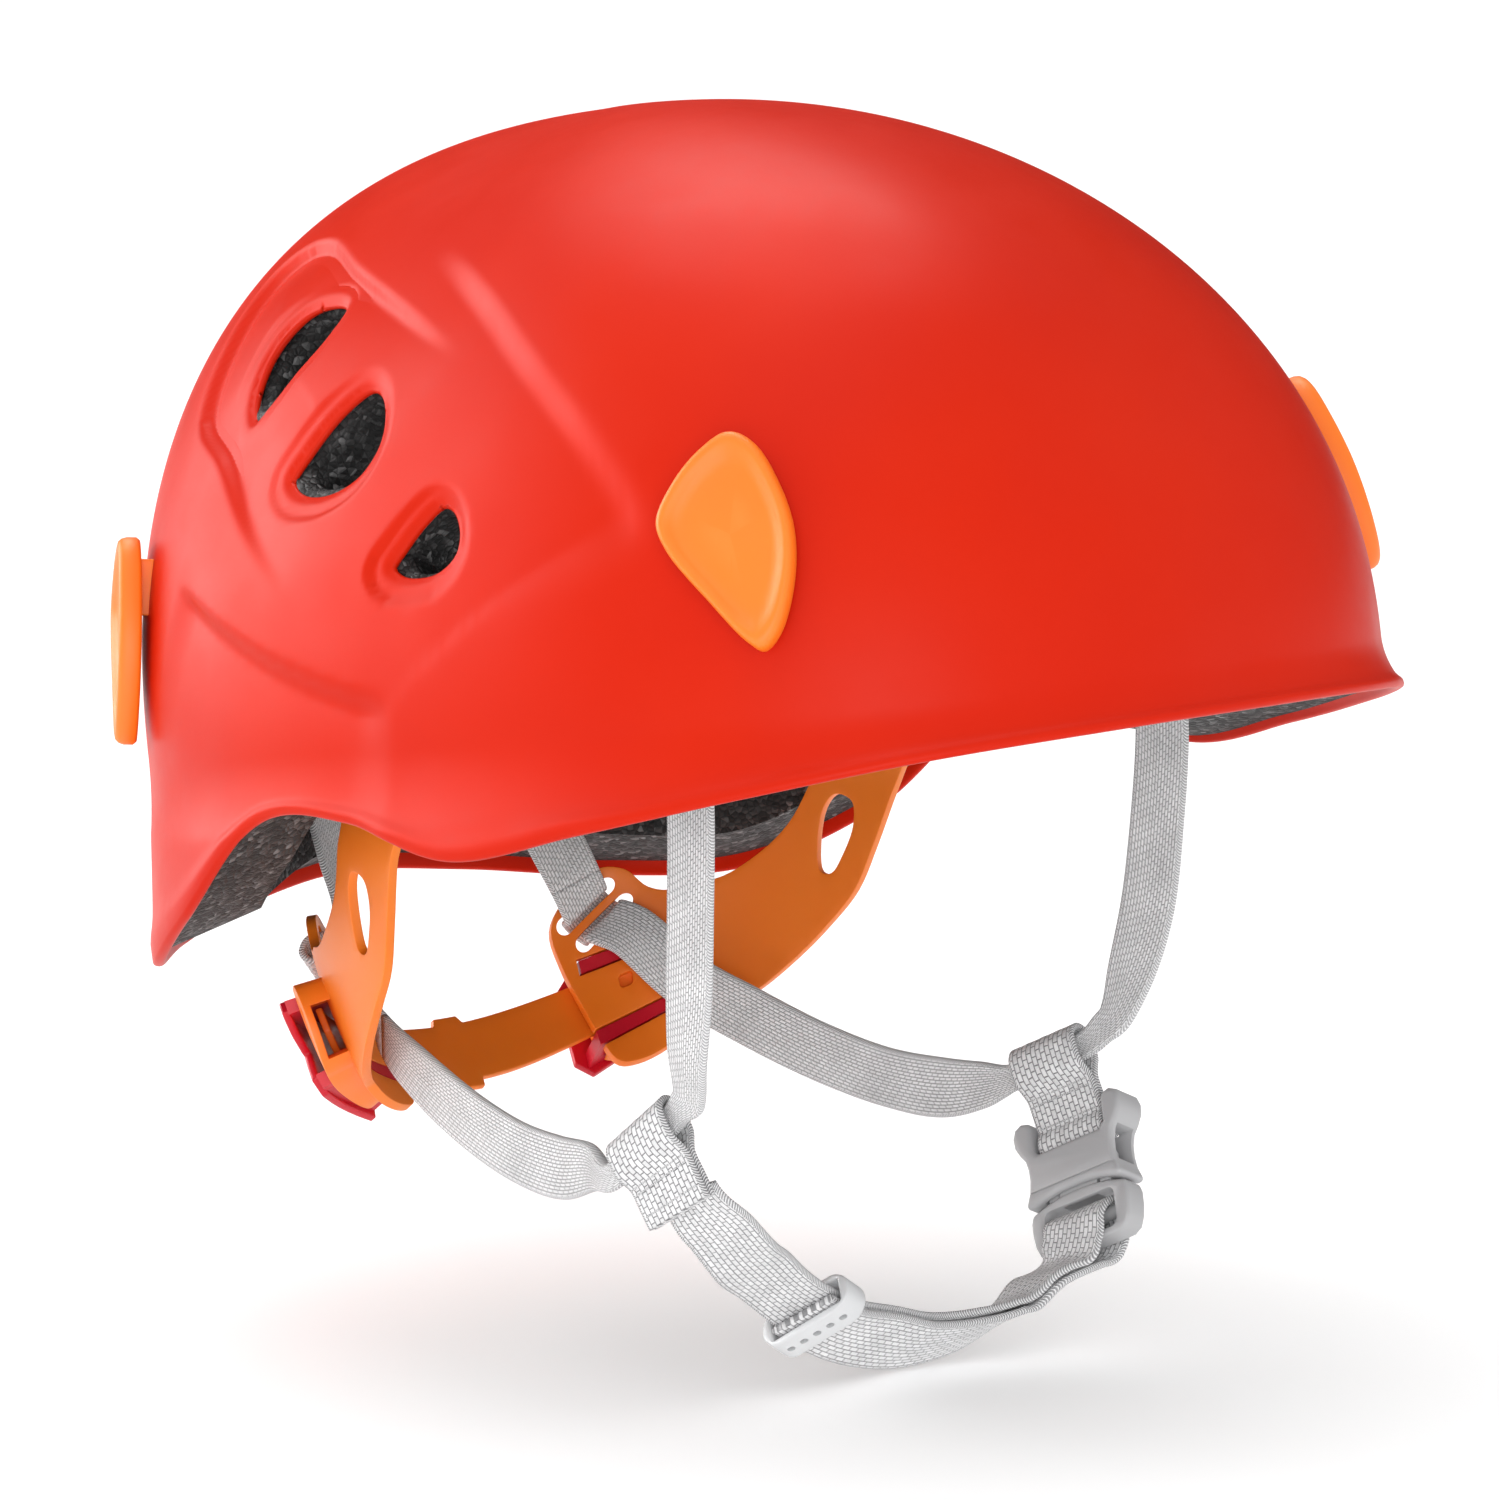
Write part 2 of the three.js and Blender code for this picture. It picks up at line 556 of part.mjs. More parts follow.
function wing() {
  const plate = toSolid(slab(outline(WING_OUTLINE, 46), -WING_HALF_THICK, WING_HALF_THICK));
  const whole = join(plate, [slab(housingShape(), 0, HOUSING_OUTER)]);
  const through = 3 * WING_HALF_THICK;
  const channelRun = HOUSING.end - HOUSING.start + 2 * CHANNEL_OVERRUN;
  const channel = boxAt(channelRun, 2 * (BAND_HALF_HEIGHT + FIT_GAP), CHANNEL_OUTER - WING_HALF_THICK,
    (HOUSING.start + HOUSING.end) / 2, 0, (CHANNEL_OUTER + WING_HALF_THICK) / 2);
  const recess = LOCK_RECESS;
  const tools = [
    channel,
    slab(outline(ARM_HOLE, 14), -through, through),
    ...SLOT_CENTRES.map((centre) => slotTool(centre, SLOT, -through, through)),
    ...lockLegs(LEG_GAP, -through, 2 * HOUSING_OUTER),
    boxAt(recess.end - recess.start, 2 * recess.halfHeight, recess.floor,
      (recess.start + recess.end) / 2, 0, 1.5 * recess.floor),
    slotTool(PIVOT_EYE, PIVOT_SLOT, -through, through),
  ];
  return bent(toGeometry(cut(whole, tools)), WING_FACET);
}

// Where the arm's eye lies in cradle coordinates, from the pivot's place on the head form.
const PIVOT_EYE = (() => {
  const plan = headPlan(PIVOT.z);
  const along = (Math.abs(PIVOT.x - HEAD_CENTRE) / plan.long) ** HEAD_POWER;
  const y = plan.wide * (1 - along) ** (1 / HEAD_POWER);
  const degrees = THREE.MathUtils.radToDeg(Math.atan2(y, HEAD_CENTRE - PIVOT.x));
  return [degrees * GIRTH_PER_DEGREE, PIVOT.z - bandHeight(degrees)];
})();

function napeBand() {
  const half = BAND_HALF_HEIGHT;
  const low = -half - 1.4;
  const high = half + 1.3;
  const tip = BAND_END + 1.5;
  const shape = new THREE.Shape([[-BAND_END, -half], [-7, -half], [-6, low], [-1, low], [0, -half],
    [BAND_END, -half], [tip, 0], [BAND_END, half], [3, half], [2, high], [-4, high], [-5, half],
    [-BAND_END, half], [-tip, 0]].map(([u, v]) => new THREE.Vector2(u, v)));
  return bent(slab(shape, BAND_INNER, BAND_OUTER), BAND_FACET);
}

function lockButton() {
  const middle = (LOCK.start + LOCK.end) / 2;
  const cap = new THREE.Shape([[LOCK.start - 2.6, -6.2], [LOCK.start + 1, -9.2], [LOCK.end - 2, -8.4],
    [LOCK.end, -6], [LOCK.end - 6, 0], [LOCK.end, 6], [LOCK.end - 2, 8.4], [LOCK.start + 1, 9.2],
    [LOCK.start - 2.6, 6.2]].map(([u, v]) => new THREE.Vector2(u, v)));
  const legs = lockLegs(0, -WING_HALF_THICK, LOCK.capInner + 0.4);
  const body = join(toSolid(slab(cap, LOCK.capInner, LOCK.capOuter)), legs);
  const size = LOCK_DIMPLE;
  const dimple = boxAt(size, size, size, middle - 6, 0, LOCK.capOuter + size / 2 - 1);
  return bent(toGeometry(cut(body, [dimple])), BAND_FACET);
}

// ---- Webbing -----------------------------------------------------------------------------------
// A ribbon through stations {at, across, width, thick}: a closed strip of rectangular section.
function ribbon(stations, steps) {
  const path = new THREE.CatmullRomCurve3(stations.map((s) => s.at), false, 'centripetal');
  const aim = new THREE.CatmullRomCurve3(stations.map((s) => s.across), false, 'catmullrom', 0.5);
  const size = new THREE.CatmullRomCurve3(
    stations.map((s) => new THREE.Vector3(s.width, s.thick, 0)), false, 'catmullrom', 0.5);
  const positions = [];
  const index = [];
  for (let i = 0; i <= steps; i += 1) {
    const t = i / steps;
    const p = path.getPoint(t);
    const along = path.getTangent(t);
    const across = aim.getPoint(t);
    across.addScaledVector(along, -across.dot(along)).normalize();
    const out = new THREE.Vector3().crossVectors(along, across).normalize();
    const section = size.getPoint(t);
    for (const [a, b] of [[-0.5, -0.5], [0.5, -0.5], [0.5, 0.5], [-0.5, 0.5]]) {
      const corner = p.clone().addScaledVector(across, a * section.x).addScaledVector(out, b * section.y);
      positions.push(corner.x, corner.y, corner.z);
    }
    if (i > 0) {
      const now = i * 4;
      const was = now - 4;
      for (let k = 0; k < 4; k += 1) {
        const next = (k + 1) % 4;
        index.push(was + k, was + next, now + next, was + k, now + next, now + k);
      }
    }
  }
  const end = steps * 4;
  index.push(0, 2, 1, 0, 3, 2, end, end + 1, end + 2, end, end + 2, end + 3);
  const geometry = new THREE.BufferGeometry();
  geometry.setAttribute('position', new THREE.Float32BufferAttribute(positions, 3));
  geometry.setIndex(index);
  return geometry;
}

function station(at, across, width = STRAP_WIDTH, thick = STRAP_THICK) {
  return {
    at: Array.isArray(at) ? new THREE.Vector3(...at) : at,
    across: Array.isArray(across) ? new THREE.Vector3(...across) : across,
    width,
    thick,
  };
}

function yokePoint(s, w, across = YOKE_ACROSS) {
  return YOKE_TOP.clone().addScaledVector(YOKE_DOWN, s).addScaledVector(across, w);
}

const STRAP_TOP = 1.2;
const STRAP_LEAD = -9;
const STRAP_LEVEL = 5.1;
const BUNCH_WIDTH = 5.6;
const BUNCH_THICK = 2.6;

function anchorPoint(place, up) {
  return new THREE.Vector3(0, up, ANCHOR.thick / 2 - ANCHOR.proud).applyMatrix4(anchorFrame(place));
}

// In through the lower slot, over the bar on the outside, and back in through the upper one.
function slotStations(aim, width) {
  const [upper, lower] = SLOT_CENTRES;
  const across = [upper[0] - lower[0], upper[1] - lower[1]];
  return [[-0.05, -2.9], [-0.05, -0.4], [-0.02, 1.7], [0.5, 3.1], [1.02, 1.7], [1.05, -0.4], [1.05, -2.9]]
    .map(([t, depth]) => station(
      onHead(lower[0] + across[0] * t, lower[1] + across[1] * t, depth), aim.clone(), width));
}

// Direction across the strap where it leaves an anchor.
function anchorAim(place) {
  return new THREE.Vector3().setFromMatrixColumn(anchorFrame(place), 0).negate();
}

// Direction along the upper slot, on the bent plate.
function slotDirection() {
  const [[u, v]] = SLOT_CENTRES;
  const du = SLOT.length / 4 * Math.cos(SLOT.angle);
  const dv = SLOT.length / 4 * Math.sin(SLOT.angle);
  return onHead(u + du, v + dv, 0).sub(onHead(u - du, v - dv, 0)).normalize();
}

// Up out of the front anchor's slot, down past the yoke and back up through the cradle to the rear.
function vStrap(yokeAcross, entry) {
  const front = anchorPoint(ANCHOR_FRONT, STRAP_TOP);
  const frontIn = anchorPoint(ANCHOR_FRONT, STRAP_LEAD);
  const rear = anchorPoint(ANCHOR_REAR, STRAP_TOP);
  const rearIn = anchorPoint(ANCHOR_REAR, 1.5 * STRAP_LEAD);
  const frontAim = anchorAim(ANCHOR_FRONT);
  const rearAim = anchorAim(ANCHOR_REAR);
  const slotAim = slotDirection();
  const [upper, lower] = SLOT_CENTRES;
  const slotOut = onHead(upper[0] - 2, upper[1] + 5.5, -5.4);
  const narrow = SLOT.length - 1.8;
  const wide = BUNCH_WIDTH;
  const deep = BUNCH_THICK;
  return ribbon([
    station(front, frontAim),
    station(frontIn, frontAim),
    station([52.6, 66.6, 8], [1, 0.06, 0]),
    station([54, 66.4, -8], [1, 0.08, 0]),
    station([53.4, 65.8, -26], [1, 0.1, 0]),
    station([52, 64.8, -43], [0.98, 0.1, 0.1]),
    station([49.6, 63.2, -56], [0.9, 0.1, 0.34], 10.5, 1.8),
    station(entry, [0.75, 0.05, 0.6], wide + 0.6, 2.3),
    station(yokePoint(STRAP_LEVEL - 0.6, 10, yokeAcross), [-0.55, 0.02, 0.83], wide, deep),
    station(yokePoint(STRAP_LEVEL, 4, yokeAcross), YOKE_DOWN.clone().negate(), wide, deep),
    station(yokePoint(STRAP_LEVEL, -4, yokeAcross), YOKE_DOWN.clone().negate(), wide, deep),
    station(yokePoint(STRAP_LEVEL, -10.5, yokeAcross), [-0.3, 0, 0.95], wide, deep),
    station([17.4, 55.6, -82.4], [-0.2, 0, 0.98], 9.4, 2),
    station([7, 53.9, -84.2], [-0.1, 0, 1]),
    station([-6, 51.9, -83.6], [0.05, 0, 1]),
    station([-22, 49.2, -80.2], [0.15, 0.05, 1]),
    station([-39, 46, -74.6], [0.25, 0.15, 0.95]),
    station([-54, 42.6, -68.4], [0.3, 0.35, 0.88], narrow),
    station(onHead(lower[0] + 5, lower[1] - 4.4, -5.6), slotAim.clone(), narrow),
    ...slotStations(slotAim, narrow),
    station(slotOut, slotAim.clone().lerp(rearAim, 0.2), narrow),
    station(slotOut.clone().lerp(rearIn, 0.35), slotAim.clone().lerp(rearAim, 0.6)),
    station(slotOut.clone().lerp(rearIn, 0.7), rearAim),
    station(rearIn, rearAim),
    station(anchorPoint(ANCHOR_REAR, STRAP_LEAD / 2), rearAim),
    station(rear, rearAim),
  ], 104);
}

// Yoke: one wide webbing folded into a loop round the V strap and sewn flat below it. The left
// one ends in a second loop round the buckle's bar.
function yokeSection(lowerLoop) {
  const half = YOKE.depth / 2;
  const shape = new THREE.Shape();
  const flat = YOKE.flat / 2;
  const end = lowerLoop ? BUCKLE.bar : YOKE.end;
  shape.moveTo(YOKE.loop, flat);
  shape.quadraticCurveTo(YOKE.loop - 1.5, half, YOKE.loop - 4, half);
  shape.lineTo(half, half);
  shape.absarc(half, 0, half, Math.PI / 2, 1.5 * Math.PI, false);
  shape.lineTo(YOKE.loop - 4, -half);
  shape.quadraticCurveTo(YOKE.loop - 1.5, -half, YOKE.loop, -flat);
  if (lowerLoop) {
    const loop = BUCKLE.barRadius + 0.4 + YOKE.wall;
    shape.lineTo(end - loop, -flat);
    shape.absarc(end, 0, loop, Math.PI + 0.5, 3 * Math.PI - 0.5, false);
  } else {
    shape.lineTo(end, -flat);
    shape.lineTo(end, flat);
  }
  const inner = half - YOKE.wall;
  const hole = new THREE.Path();
  hole.moveTo(half, inner);
  hole.lineTo(YOKE.loop - 4, inner);
  hole.lineTo(YOKE.loop - 1.6, 0.3);
  hole.lineTo(YOKE.loop - 1.6, -0.3);
  hole.lineTo(YOKE.loop - 4, -inner);
  hole.lineTo(half, -inner);
  hole.absarc(half, 0, inner, 1.5 * Math.PI, Math.PI / 2, true);
  shape.holes.push(hole);
  if (lowerLoop) {
    const bar = new THREE.Path();
    bar.absarc(end, 0, BUCKLE.barRadius + 0.4, 0, 2 * Math.PI, true);
    shape.holes.push(bar);
  }
  return shape;
}

// Matrix that carries (w, -s, n) to the yoke's frame: w across, s down, n inward.
function yokeMatrix(across = YOKE_ACROSS) {
  const up = YOKE_DOWN.clone().negate();
  const inward = new THREE.Vector3().crossVectors(across, up).normalize();
  return new THREE.Matrix4().makeBasis(across, up, inward).setPosition(YOKE_TOP);
}

function yoke(lowerLoop, across) {
  // The section is drawn in (s, n); turned so that s runs down and the width lies across.
  const solid = new THREE.ExtrudeGeometry(yokeSection(lowerLoop),
    { depth: YOKE.width, bevelEnabled: false, curveSegments: 6 }).translate(0, 0, -YOKE.width / 2);
  const turn = new THREE.Matrix4().makeBasis(
    new THREE.Vector3(0, -1, 0), new THREE.Vector3(0, 0, 1), new THREE.Vector3(-1, 0, 0));
  return weld(solid).applyMatrix4(turn).applyMatrix4(yokeMatrix(across));
}

// ---- Buckle ------------------------------------------------------------------------------------
// The yoke's frame swung inward about the socket's bar.
function buckleMatrix() {
  return yokeMatrix().multiply(new THREE.Matrix4().makeTranslation(0, -BUCKLE.bar, 0))
    .multiply(new THREE.Matrix4().makeRotationX(-BUCKLE_SWING))
    .multiply(new THREE.Matrix4().makeTranslation(0, BUCKLE.bar, 0));
}

function inBuckleFrame(geometry) {
  return geometry.applyMatrix4(buckleMatrix());
}

function bucklePoint(s, w, n) {
  return new THREE.Vector3(w, -s, n).applyMatrix4(buckleMatrix());
}

function buckleSocket() {
  const b = BUCKLE;
  const middle = -(b.bodyStart + b.bodyEnd) / 2;
  const earEnd = b.bodyStart + b.earLap;
  const ear = (side) => boxAt(b.halfEar - b.earInner, earEnd - b.earStart, b.earThick,
    side * (b.halfEar + b.earInner) / 2, -(earEnd + b.earStart) / 2, 0);
  const body = toSolid(boxAt(2 * b.halfBody, b.bodyEnd - b.bodyStart, b.thick, 0, middle, 0));
  const whole = join(body, [ear(-1), ear(1), rodAlongX(b.barRadius, 2 * b.halfBody, 0, -b.bar, 0)]);
  const cavity = boxAt(b.cavityWidth, b.bodyEnd - b.bodyStart + 4, b.cavityThick, 0, middle, 0);
  const windows = boxAt(4 * b.halfBody, b.window, b.window, 0, -b.windowAt, 0);
  return inBuckleFrame(weld(toGeometry(cut(whole, [cavity, windows]))));
}

function bucklePlug() {
  const p = PLUG;
  const middle = -(p.start + p.end) / 2;
  const base = toSolid(boxAt(2 * p.halfWidth, p.end - p.start, p.thick, 0, middle, 0));
  const room = 2 * (p.halfWidth - p.side);
  const window = boxAt(room, p.end - p.start - 2 * p.wall, 2 * p.thick, 0, middle - 0.2, 0);
  const tongue = boxAt(...p.tongue, 0, p.tongue[1] / 2 - p.start - 0.4, 0);
  const framed = cut(base, [window]);
  const bar = rodAlongX(p.barRadius, 2 * p.halfWidth - 4, 0, -p.bar, 0);
  return inBuckleFrame(weld(toGeometry(join(framed, [tongue, bar]))));
}

function prong(side) {
  const [, length] = PRONG.size;
  return inBuckleFrame(weld(boxAt(...PRONG.size, side * PRONG.side, PRONG.lap - PLUG.start + length / 2, 0)));
}

// ---- Chin strap and keeper ---------------------------------------------------------------------
const TAIL_GAP = 2.1;
const TAIL_START = 5;  // route point where the doubled-back tail ends
// Points along the strap: place, then the direction across it from the rear edge to the front one.
const CHIN_ROUTE = [
  [[40.4, -53.4, -84], [0.71, -0.2, 0.68]],
  [[42.4, -51.5, -88.9], [0.71, -0.18, 0.68]],
  [[42, -45.9, -94.2], [0.71, -0.18, 0.68]],
  [[41, -38.9, -99.6], [0.71, -0.18, 0.68]],
  [[40, -31.5, -105.2], [0.72, -0.15, 0.66]],
  [[39.6, -21.5, -112], [0.7, -0.14, 0.69]],
  [[39.4, -11.4, -117.4], [0.64, -0.15, 0.75]],
  [[39.6, -0.6, -121], [0.56, -0.2, 0.8]],
  [[40.4, 10.5, -123.4], [0.66, -0.28, 0.7]],
  [[42.2, 25.2, -122.5], [0.78, -0.36, 0.5]],
  [[44.8, 32.8, -118.8], [0.9, -0.3, 0.3]],
  [[48, 37.6, -113.6], [0.93, -0.1, 0.36]],
];
const KEEPER_AT = 5.35;
const KEEPER = { width: 21, height: 8.6, holeWidth: 16.6, holeHeight: 5.4, depth: 6 };

function chinPath() {
  return CHIN_ROUTE.map(([at, across]) => ({
    at: new THREE.Vector3(...at), across: new THREE.Vector3(...across) }));
}

// Outward side of the strap at route point i: away from the chin.
function chinOut(route, i) {
  const before = route[Math.max(i - 1, 0)].at;
  const after = route[Math.min(i + 1, route.length - 1)].at;
  const along = after.clone().sub(before).normalize();
  return along.cross(route[i].across.clone().normalize()).normalize();
}

function chinStrap() {
  const route = chinPath();
  const stations = route.map(({ at, across }, i) => station(
    at.clone().addScaledVector(chinOut(route, i), i < TAIL_START - 1 ? 0 : -TAIL_GAP / 2), across,
    CHIN_WIDTH, STRAP_THICK));
  const r = PLUG.barRadius + 0.35 + STRAP_THICK / 2;
  const bar = PLUG.bar;
  for (const [s, w, n] of [[bar + 7.6, -4.4, 5.4], [bar + 4, -2, 4.6], [bar, -0.5, r + 1.1],
    [bar - r - 0.2, 0, 0], [bar, -0.5, -r - 1.1], [bar + 4, -1.8, -4.1], [bar + 7.6, -4, -2.4]]) {
    stations.push(station(bucklePoint(s, w, n), YOKE_ACROSS.clone(), CHIN_WIDTH, STRAP_THICK));
  }
  for (let i = route.length - 1; i >= TAIL_START; i -= 1) {
    const { at, across } = route[i];
    stations.push(station(at.clone().addScaledVector(chinOut(route, i), TAIL_GAP / 2), across,
      CHIN_WIDTH, STRAP_THICK));
  }
  return ribbon(stations, 4 * stations.length);
}

function strapKeeper() {
  const route = chinPath();
  const i = Math.floor(KEEPER_AT);
  const at = route[i].at.clone().lerp(route[i + 1].at, KEEPER_AT - i);
  const along = route[i + 1].at.clone().sub(route[i].at).normalize();
  const across = route[i].across.clone().lerp(route[i + 1].across, KEEPER_AT - i);
  across.addScaledVector(along, -across.dot(along)).normalize();
  const out = new THREE.Vector3().crossVectors(along, across);
  const ring = stadium(KEEPER.width, KEEPER.height);
  const body = toSolid(slab(ring, -KEEPER.depth / 2, KEEPER.depth / 2));
  const turn = new THREE.Matrix4().makeBasis(across, out, along).setPosition(at);
  const hole = boxAt(KEEPER.holeWidth, KEEPER.holeHeight, 2 * KEEPER.depth);
  return weld(toGeometry(cut(body, [hole]))).applyMatrix4(turn);
}

// ---- Assembly ----------------------------------------------------------------------------------
buildShell();
buildLiner();
buildPads();
for (const [name, place] of [['front', CLIP_FRONT], ['rear', CLIP_REAR]]) {
  addPair(`lamp_clip_${name}`, 'orange', lampClip().applyMatrix4(clipFrame(place)));
}
addPair('strap_anchor_front', 'stud', strapAnchor(ANCHOR_FRONT));
addPair('strap_anchor_rear', 'stud', strapAnchor(ANCHOR_REAR));
addPair('arm_pivot', 'stud', armPivot());
addPart('v_strap_left', 'web', vStrap(YOKE_ACROSS, [46.8, 61.2, -65.5]));
addPart('v_strap_right', 'web', mirrored(vStrap(RIGHT_YOKE_ACROSS, [46, 58.8, -64.6])));
addPart('yoke_left', 'web', weld(yoke(true)));
addPart('yoke_right', 'web', mirrored(weld(yoke(false, RIGHT_YOKE_ACROSS))));
addPart('chin_strap', 'web', weld(chinStrap()));
addPart('strap_keeper', 'keeper', strapKeeper());
addPart('buckle_socket', 'buckle', buckleSocket());
addPart('buckle_plug', 'buckle', bucklePlug());
addPart('buckle_prong_front', 'buckle', prong(1));
addPart('buckle_prong_rear', 'buckle', prong(-1));
addPart('nape_band', 'orange', weld(napeBand()));
addPair('cradle_wing', 'orange', wing());
addPair('lock_button', 'red', lockButton());

export default group;
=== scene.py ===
"""Looks of the climbing helmet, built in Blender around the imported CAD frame."""
import math

import bmesh
import bpy
import numpy as np
from mathutils import Matrix, Vector


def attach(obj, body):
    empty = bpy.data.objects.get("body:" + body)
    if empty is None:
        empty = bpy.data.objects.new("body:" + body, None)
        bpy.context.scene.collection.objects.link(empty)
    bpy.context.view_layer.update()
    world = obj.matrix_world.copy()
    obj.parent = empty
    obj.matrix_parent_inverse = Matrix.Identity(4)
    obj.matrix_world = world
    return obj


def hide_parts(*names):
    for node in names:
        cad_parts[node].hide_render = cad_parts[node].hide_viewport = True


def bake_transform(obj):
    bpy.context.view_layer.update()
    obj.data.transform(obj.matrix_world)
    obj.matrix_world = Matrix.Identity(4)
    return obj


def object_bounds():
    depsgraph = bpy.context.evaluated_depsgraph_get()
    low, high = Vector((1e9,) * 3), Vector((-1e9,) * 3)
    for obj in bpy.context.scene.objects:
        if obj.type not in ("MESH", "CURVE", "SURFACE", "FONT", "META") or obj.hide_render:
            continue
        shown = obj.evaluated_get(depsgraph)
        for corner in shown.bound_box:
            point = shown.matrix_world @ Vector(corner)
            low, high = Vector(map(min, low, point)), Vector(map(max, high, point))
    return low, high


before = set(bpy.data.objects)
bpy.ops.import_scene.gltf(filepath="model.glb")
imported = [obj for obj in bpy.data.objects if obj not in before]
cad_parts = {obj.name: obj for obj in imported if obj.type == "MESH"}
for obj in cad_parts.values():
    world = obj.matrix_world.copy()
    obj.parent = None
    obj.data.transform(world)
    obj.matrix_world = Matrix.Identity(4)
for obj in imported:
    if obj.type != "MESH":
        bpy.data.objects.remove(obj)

CAD_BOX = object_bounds()
MM = 0.001
SCENE = bpy.context.scene

# ---- Driving dimensions, the same as the CAD's, in millimetres -------
PITCH = math.radians(8.4)
HALF_FRONT, HALF_REAR, HALF_WIDTH, DOME_HEIGHT = 131.0, 119.0, 102.0, 117.0
PLAN_FRONT, PLAN_REAR = 2.41, 2.25
PROFILE = (2.17, 1.9, 2.37)
FLARE = (0.64, 0.22, -0.03)
FLARE_RUN, CROWN_SHIFT = 15.0, -12.5
RIM_HEIGHTS = [-8, -8.3, -9.7, -13, -17, -20.2, -12.4, -11.6, -29.6, -39.5, -37.8, -32.8, -29.6]
RIM_STEP = 15.0
SHELL_THICK, LINER_OUTER, LINER_INNER = 2.2, 2.8, 20.3
LINER_RAISE_OUT, LINER_RAISE_IN = (0.9, 2.5), (5.0, 8.5)
VENTS = [
    [(-37.8, 79.6), (-38.4, 74), (-42.2, 67.5), (-47, 60.5), (-50.8, 56.9), (-54.8, 61), (-56.2, 69),
     (-53.4, 75.2), (-48, 79)],
    [(-17, 66), (-12.2, 65), (-8.2, 60.4), (-7.2, 55.6), (-9.4, 50.6), (-14.6, 46.8), (-21, 44.9),
     (-27.6, 45.2), (-31, 47.8), (-28.4, 53.4), (-23, 61.4)],
    [(15, 47), (18.8, 46.2), (22, 42.2), (22.2, 38), (18.6, 34.2), (13.4, 32.6), (8.2, 32.6), (5, 34.4),
     (7.2, 38.4), (11, 43.6)],
]
VENT_IN_FOAM = 0.8  # how much wider the vents are in the foam
STRAP_WIDTH, STRAP_THICK, CHIN_WIDTH = 12.5, 1.4, 15.0
YOKE_WIDTH, YOKE_THICK = 16.5, 1.25
SELVEDGE = 0.75
BEADS_PER_METRE = 820.0
FAR = 1e9
YOKE_TOP = np.array([31.4, 57.9, -71.0])


def unit(v):
    v = np.asarray(v, float)
    return v / np.linalg.norm(v)


YOKE_DOWN = unit([0.45, -0.03, -0.89])
YOKE_ACROSS = unit([0.88, 0.165, 0.44])
YOKE_OUT = np.cross(YOKE_ACROSS, YOKE_DOWN)
RIGHT_YOKE_ACROSS = unit([0.741, -0.113, 0.65])  # pulled askew by the chin strap
BUCKLE_BAR = 21.2
BUCKLE_SWING = math.radians(20)  # inward about the socket's bar
BUCKLE_DOWN = YOKE_DOWN * math.cos(BUCKLE_SWING) - YOKE_OUT * math.sin(BUCKLE_SWING)
BUCKLE_OUT = YOKE_OUT * math.cos(BUCKLE_SWING) + YOKE_DOWN * math.sin(BUCKLE_SWING)


# ---- Materials -------------------------------------------------------
def add(tree, kind, props=None, inputs=None):
    """A shader node with its properties set and its inputs set or linked."""
    made = tree.nodes.new(kind)
    for key, value in (props or {}).items():
        setattr(made, key, value)
    for key, value in (inputs or {}).items():
        if isinstance(value, bpy.types.NodeSocket):
            tree.links.new(value, made.inputs[key])
        else:
            made.inputs[key].default_value = value
    return made


def ramp(tree, factor, stops):
    made = add(tree, "ShaderNodeValToRGB", inputs={"Fac": factor})
    bar = made.color_ramp
    while len(bar.elements) < len(stops):
        bar.elements.new(0.5)
    for element, (at, colour) in zip(bar.elements, stops):
        element.position = at
        element.color = colour
    return made.outputs["Color"]


def grey(value):
    return (value, value, value, 1)


def noise_at(tree, vector, scale, detail=3, rough=0.5):
    return add(tree, "ShaderNodeTexNoise", inputs={
        "Vector": vector, "Scale": scale, "Detail": detail, "Roughness": rough}).outputs["Fac"]


def mix_colour(tree, factor, a, b, blend="MIX"):
    made = add(tree, "ShaderNodeMix", {"data_type": "RGBA", "blend_type": blend})
    for index, value in ((0, factor), (6, a), (7, b)):
        if isinstance(value, bpy.types.NodeSocket):
            tree.links.new(value, made.inputs[index])
        else:
            made.inputs[index].default_value = value
    return made.outputs[2]


def math_node(tree, operation, a, b=0.0):
    return add(tree, "ShaderNodeMath", {"operation": operation}, {0: a, 1: b}).outputs[0]


def multiply(tree, a, b):
    return math_node(tree, "MULTIPLY", a, b)


def feed(tree, shader, sockets):
    for key, value in sockets.items():
        tree.links.new(value, shader.inputs[key])


def start_material(name):
    made = bpy.data.materials.new(name)
    made.use_nodes = True
    return made, made.node_tree, made.node_tree.nodes["Principled BSDF"]


def bump(tree, height, distance, strength=1.0, normal=None):
    inputs = {"Height": height, "Distance": distance, "Strength": strength}
    if normal is not None:
        inputs["Normal"] = normal
    return add(tree, "ShaderNodeBump", inputs=inputs).outputs["Normal"]


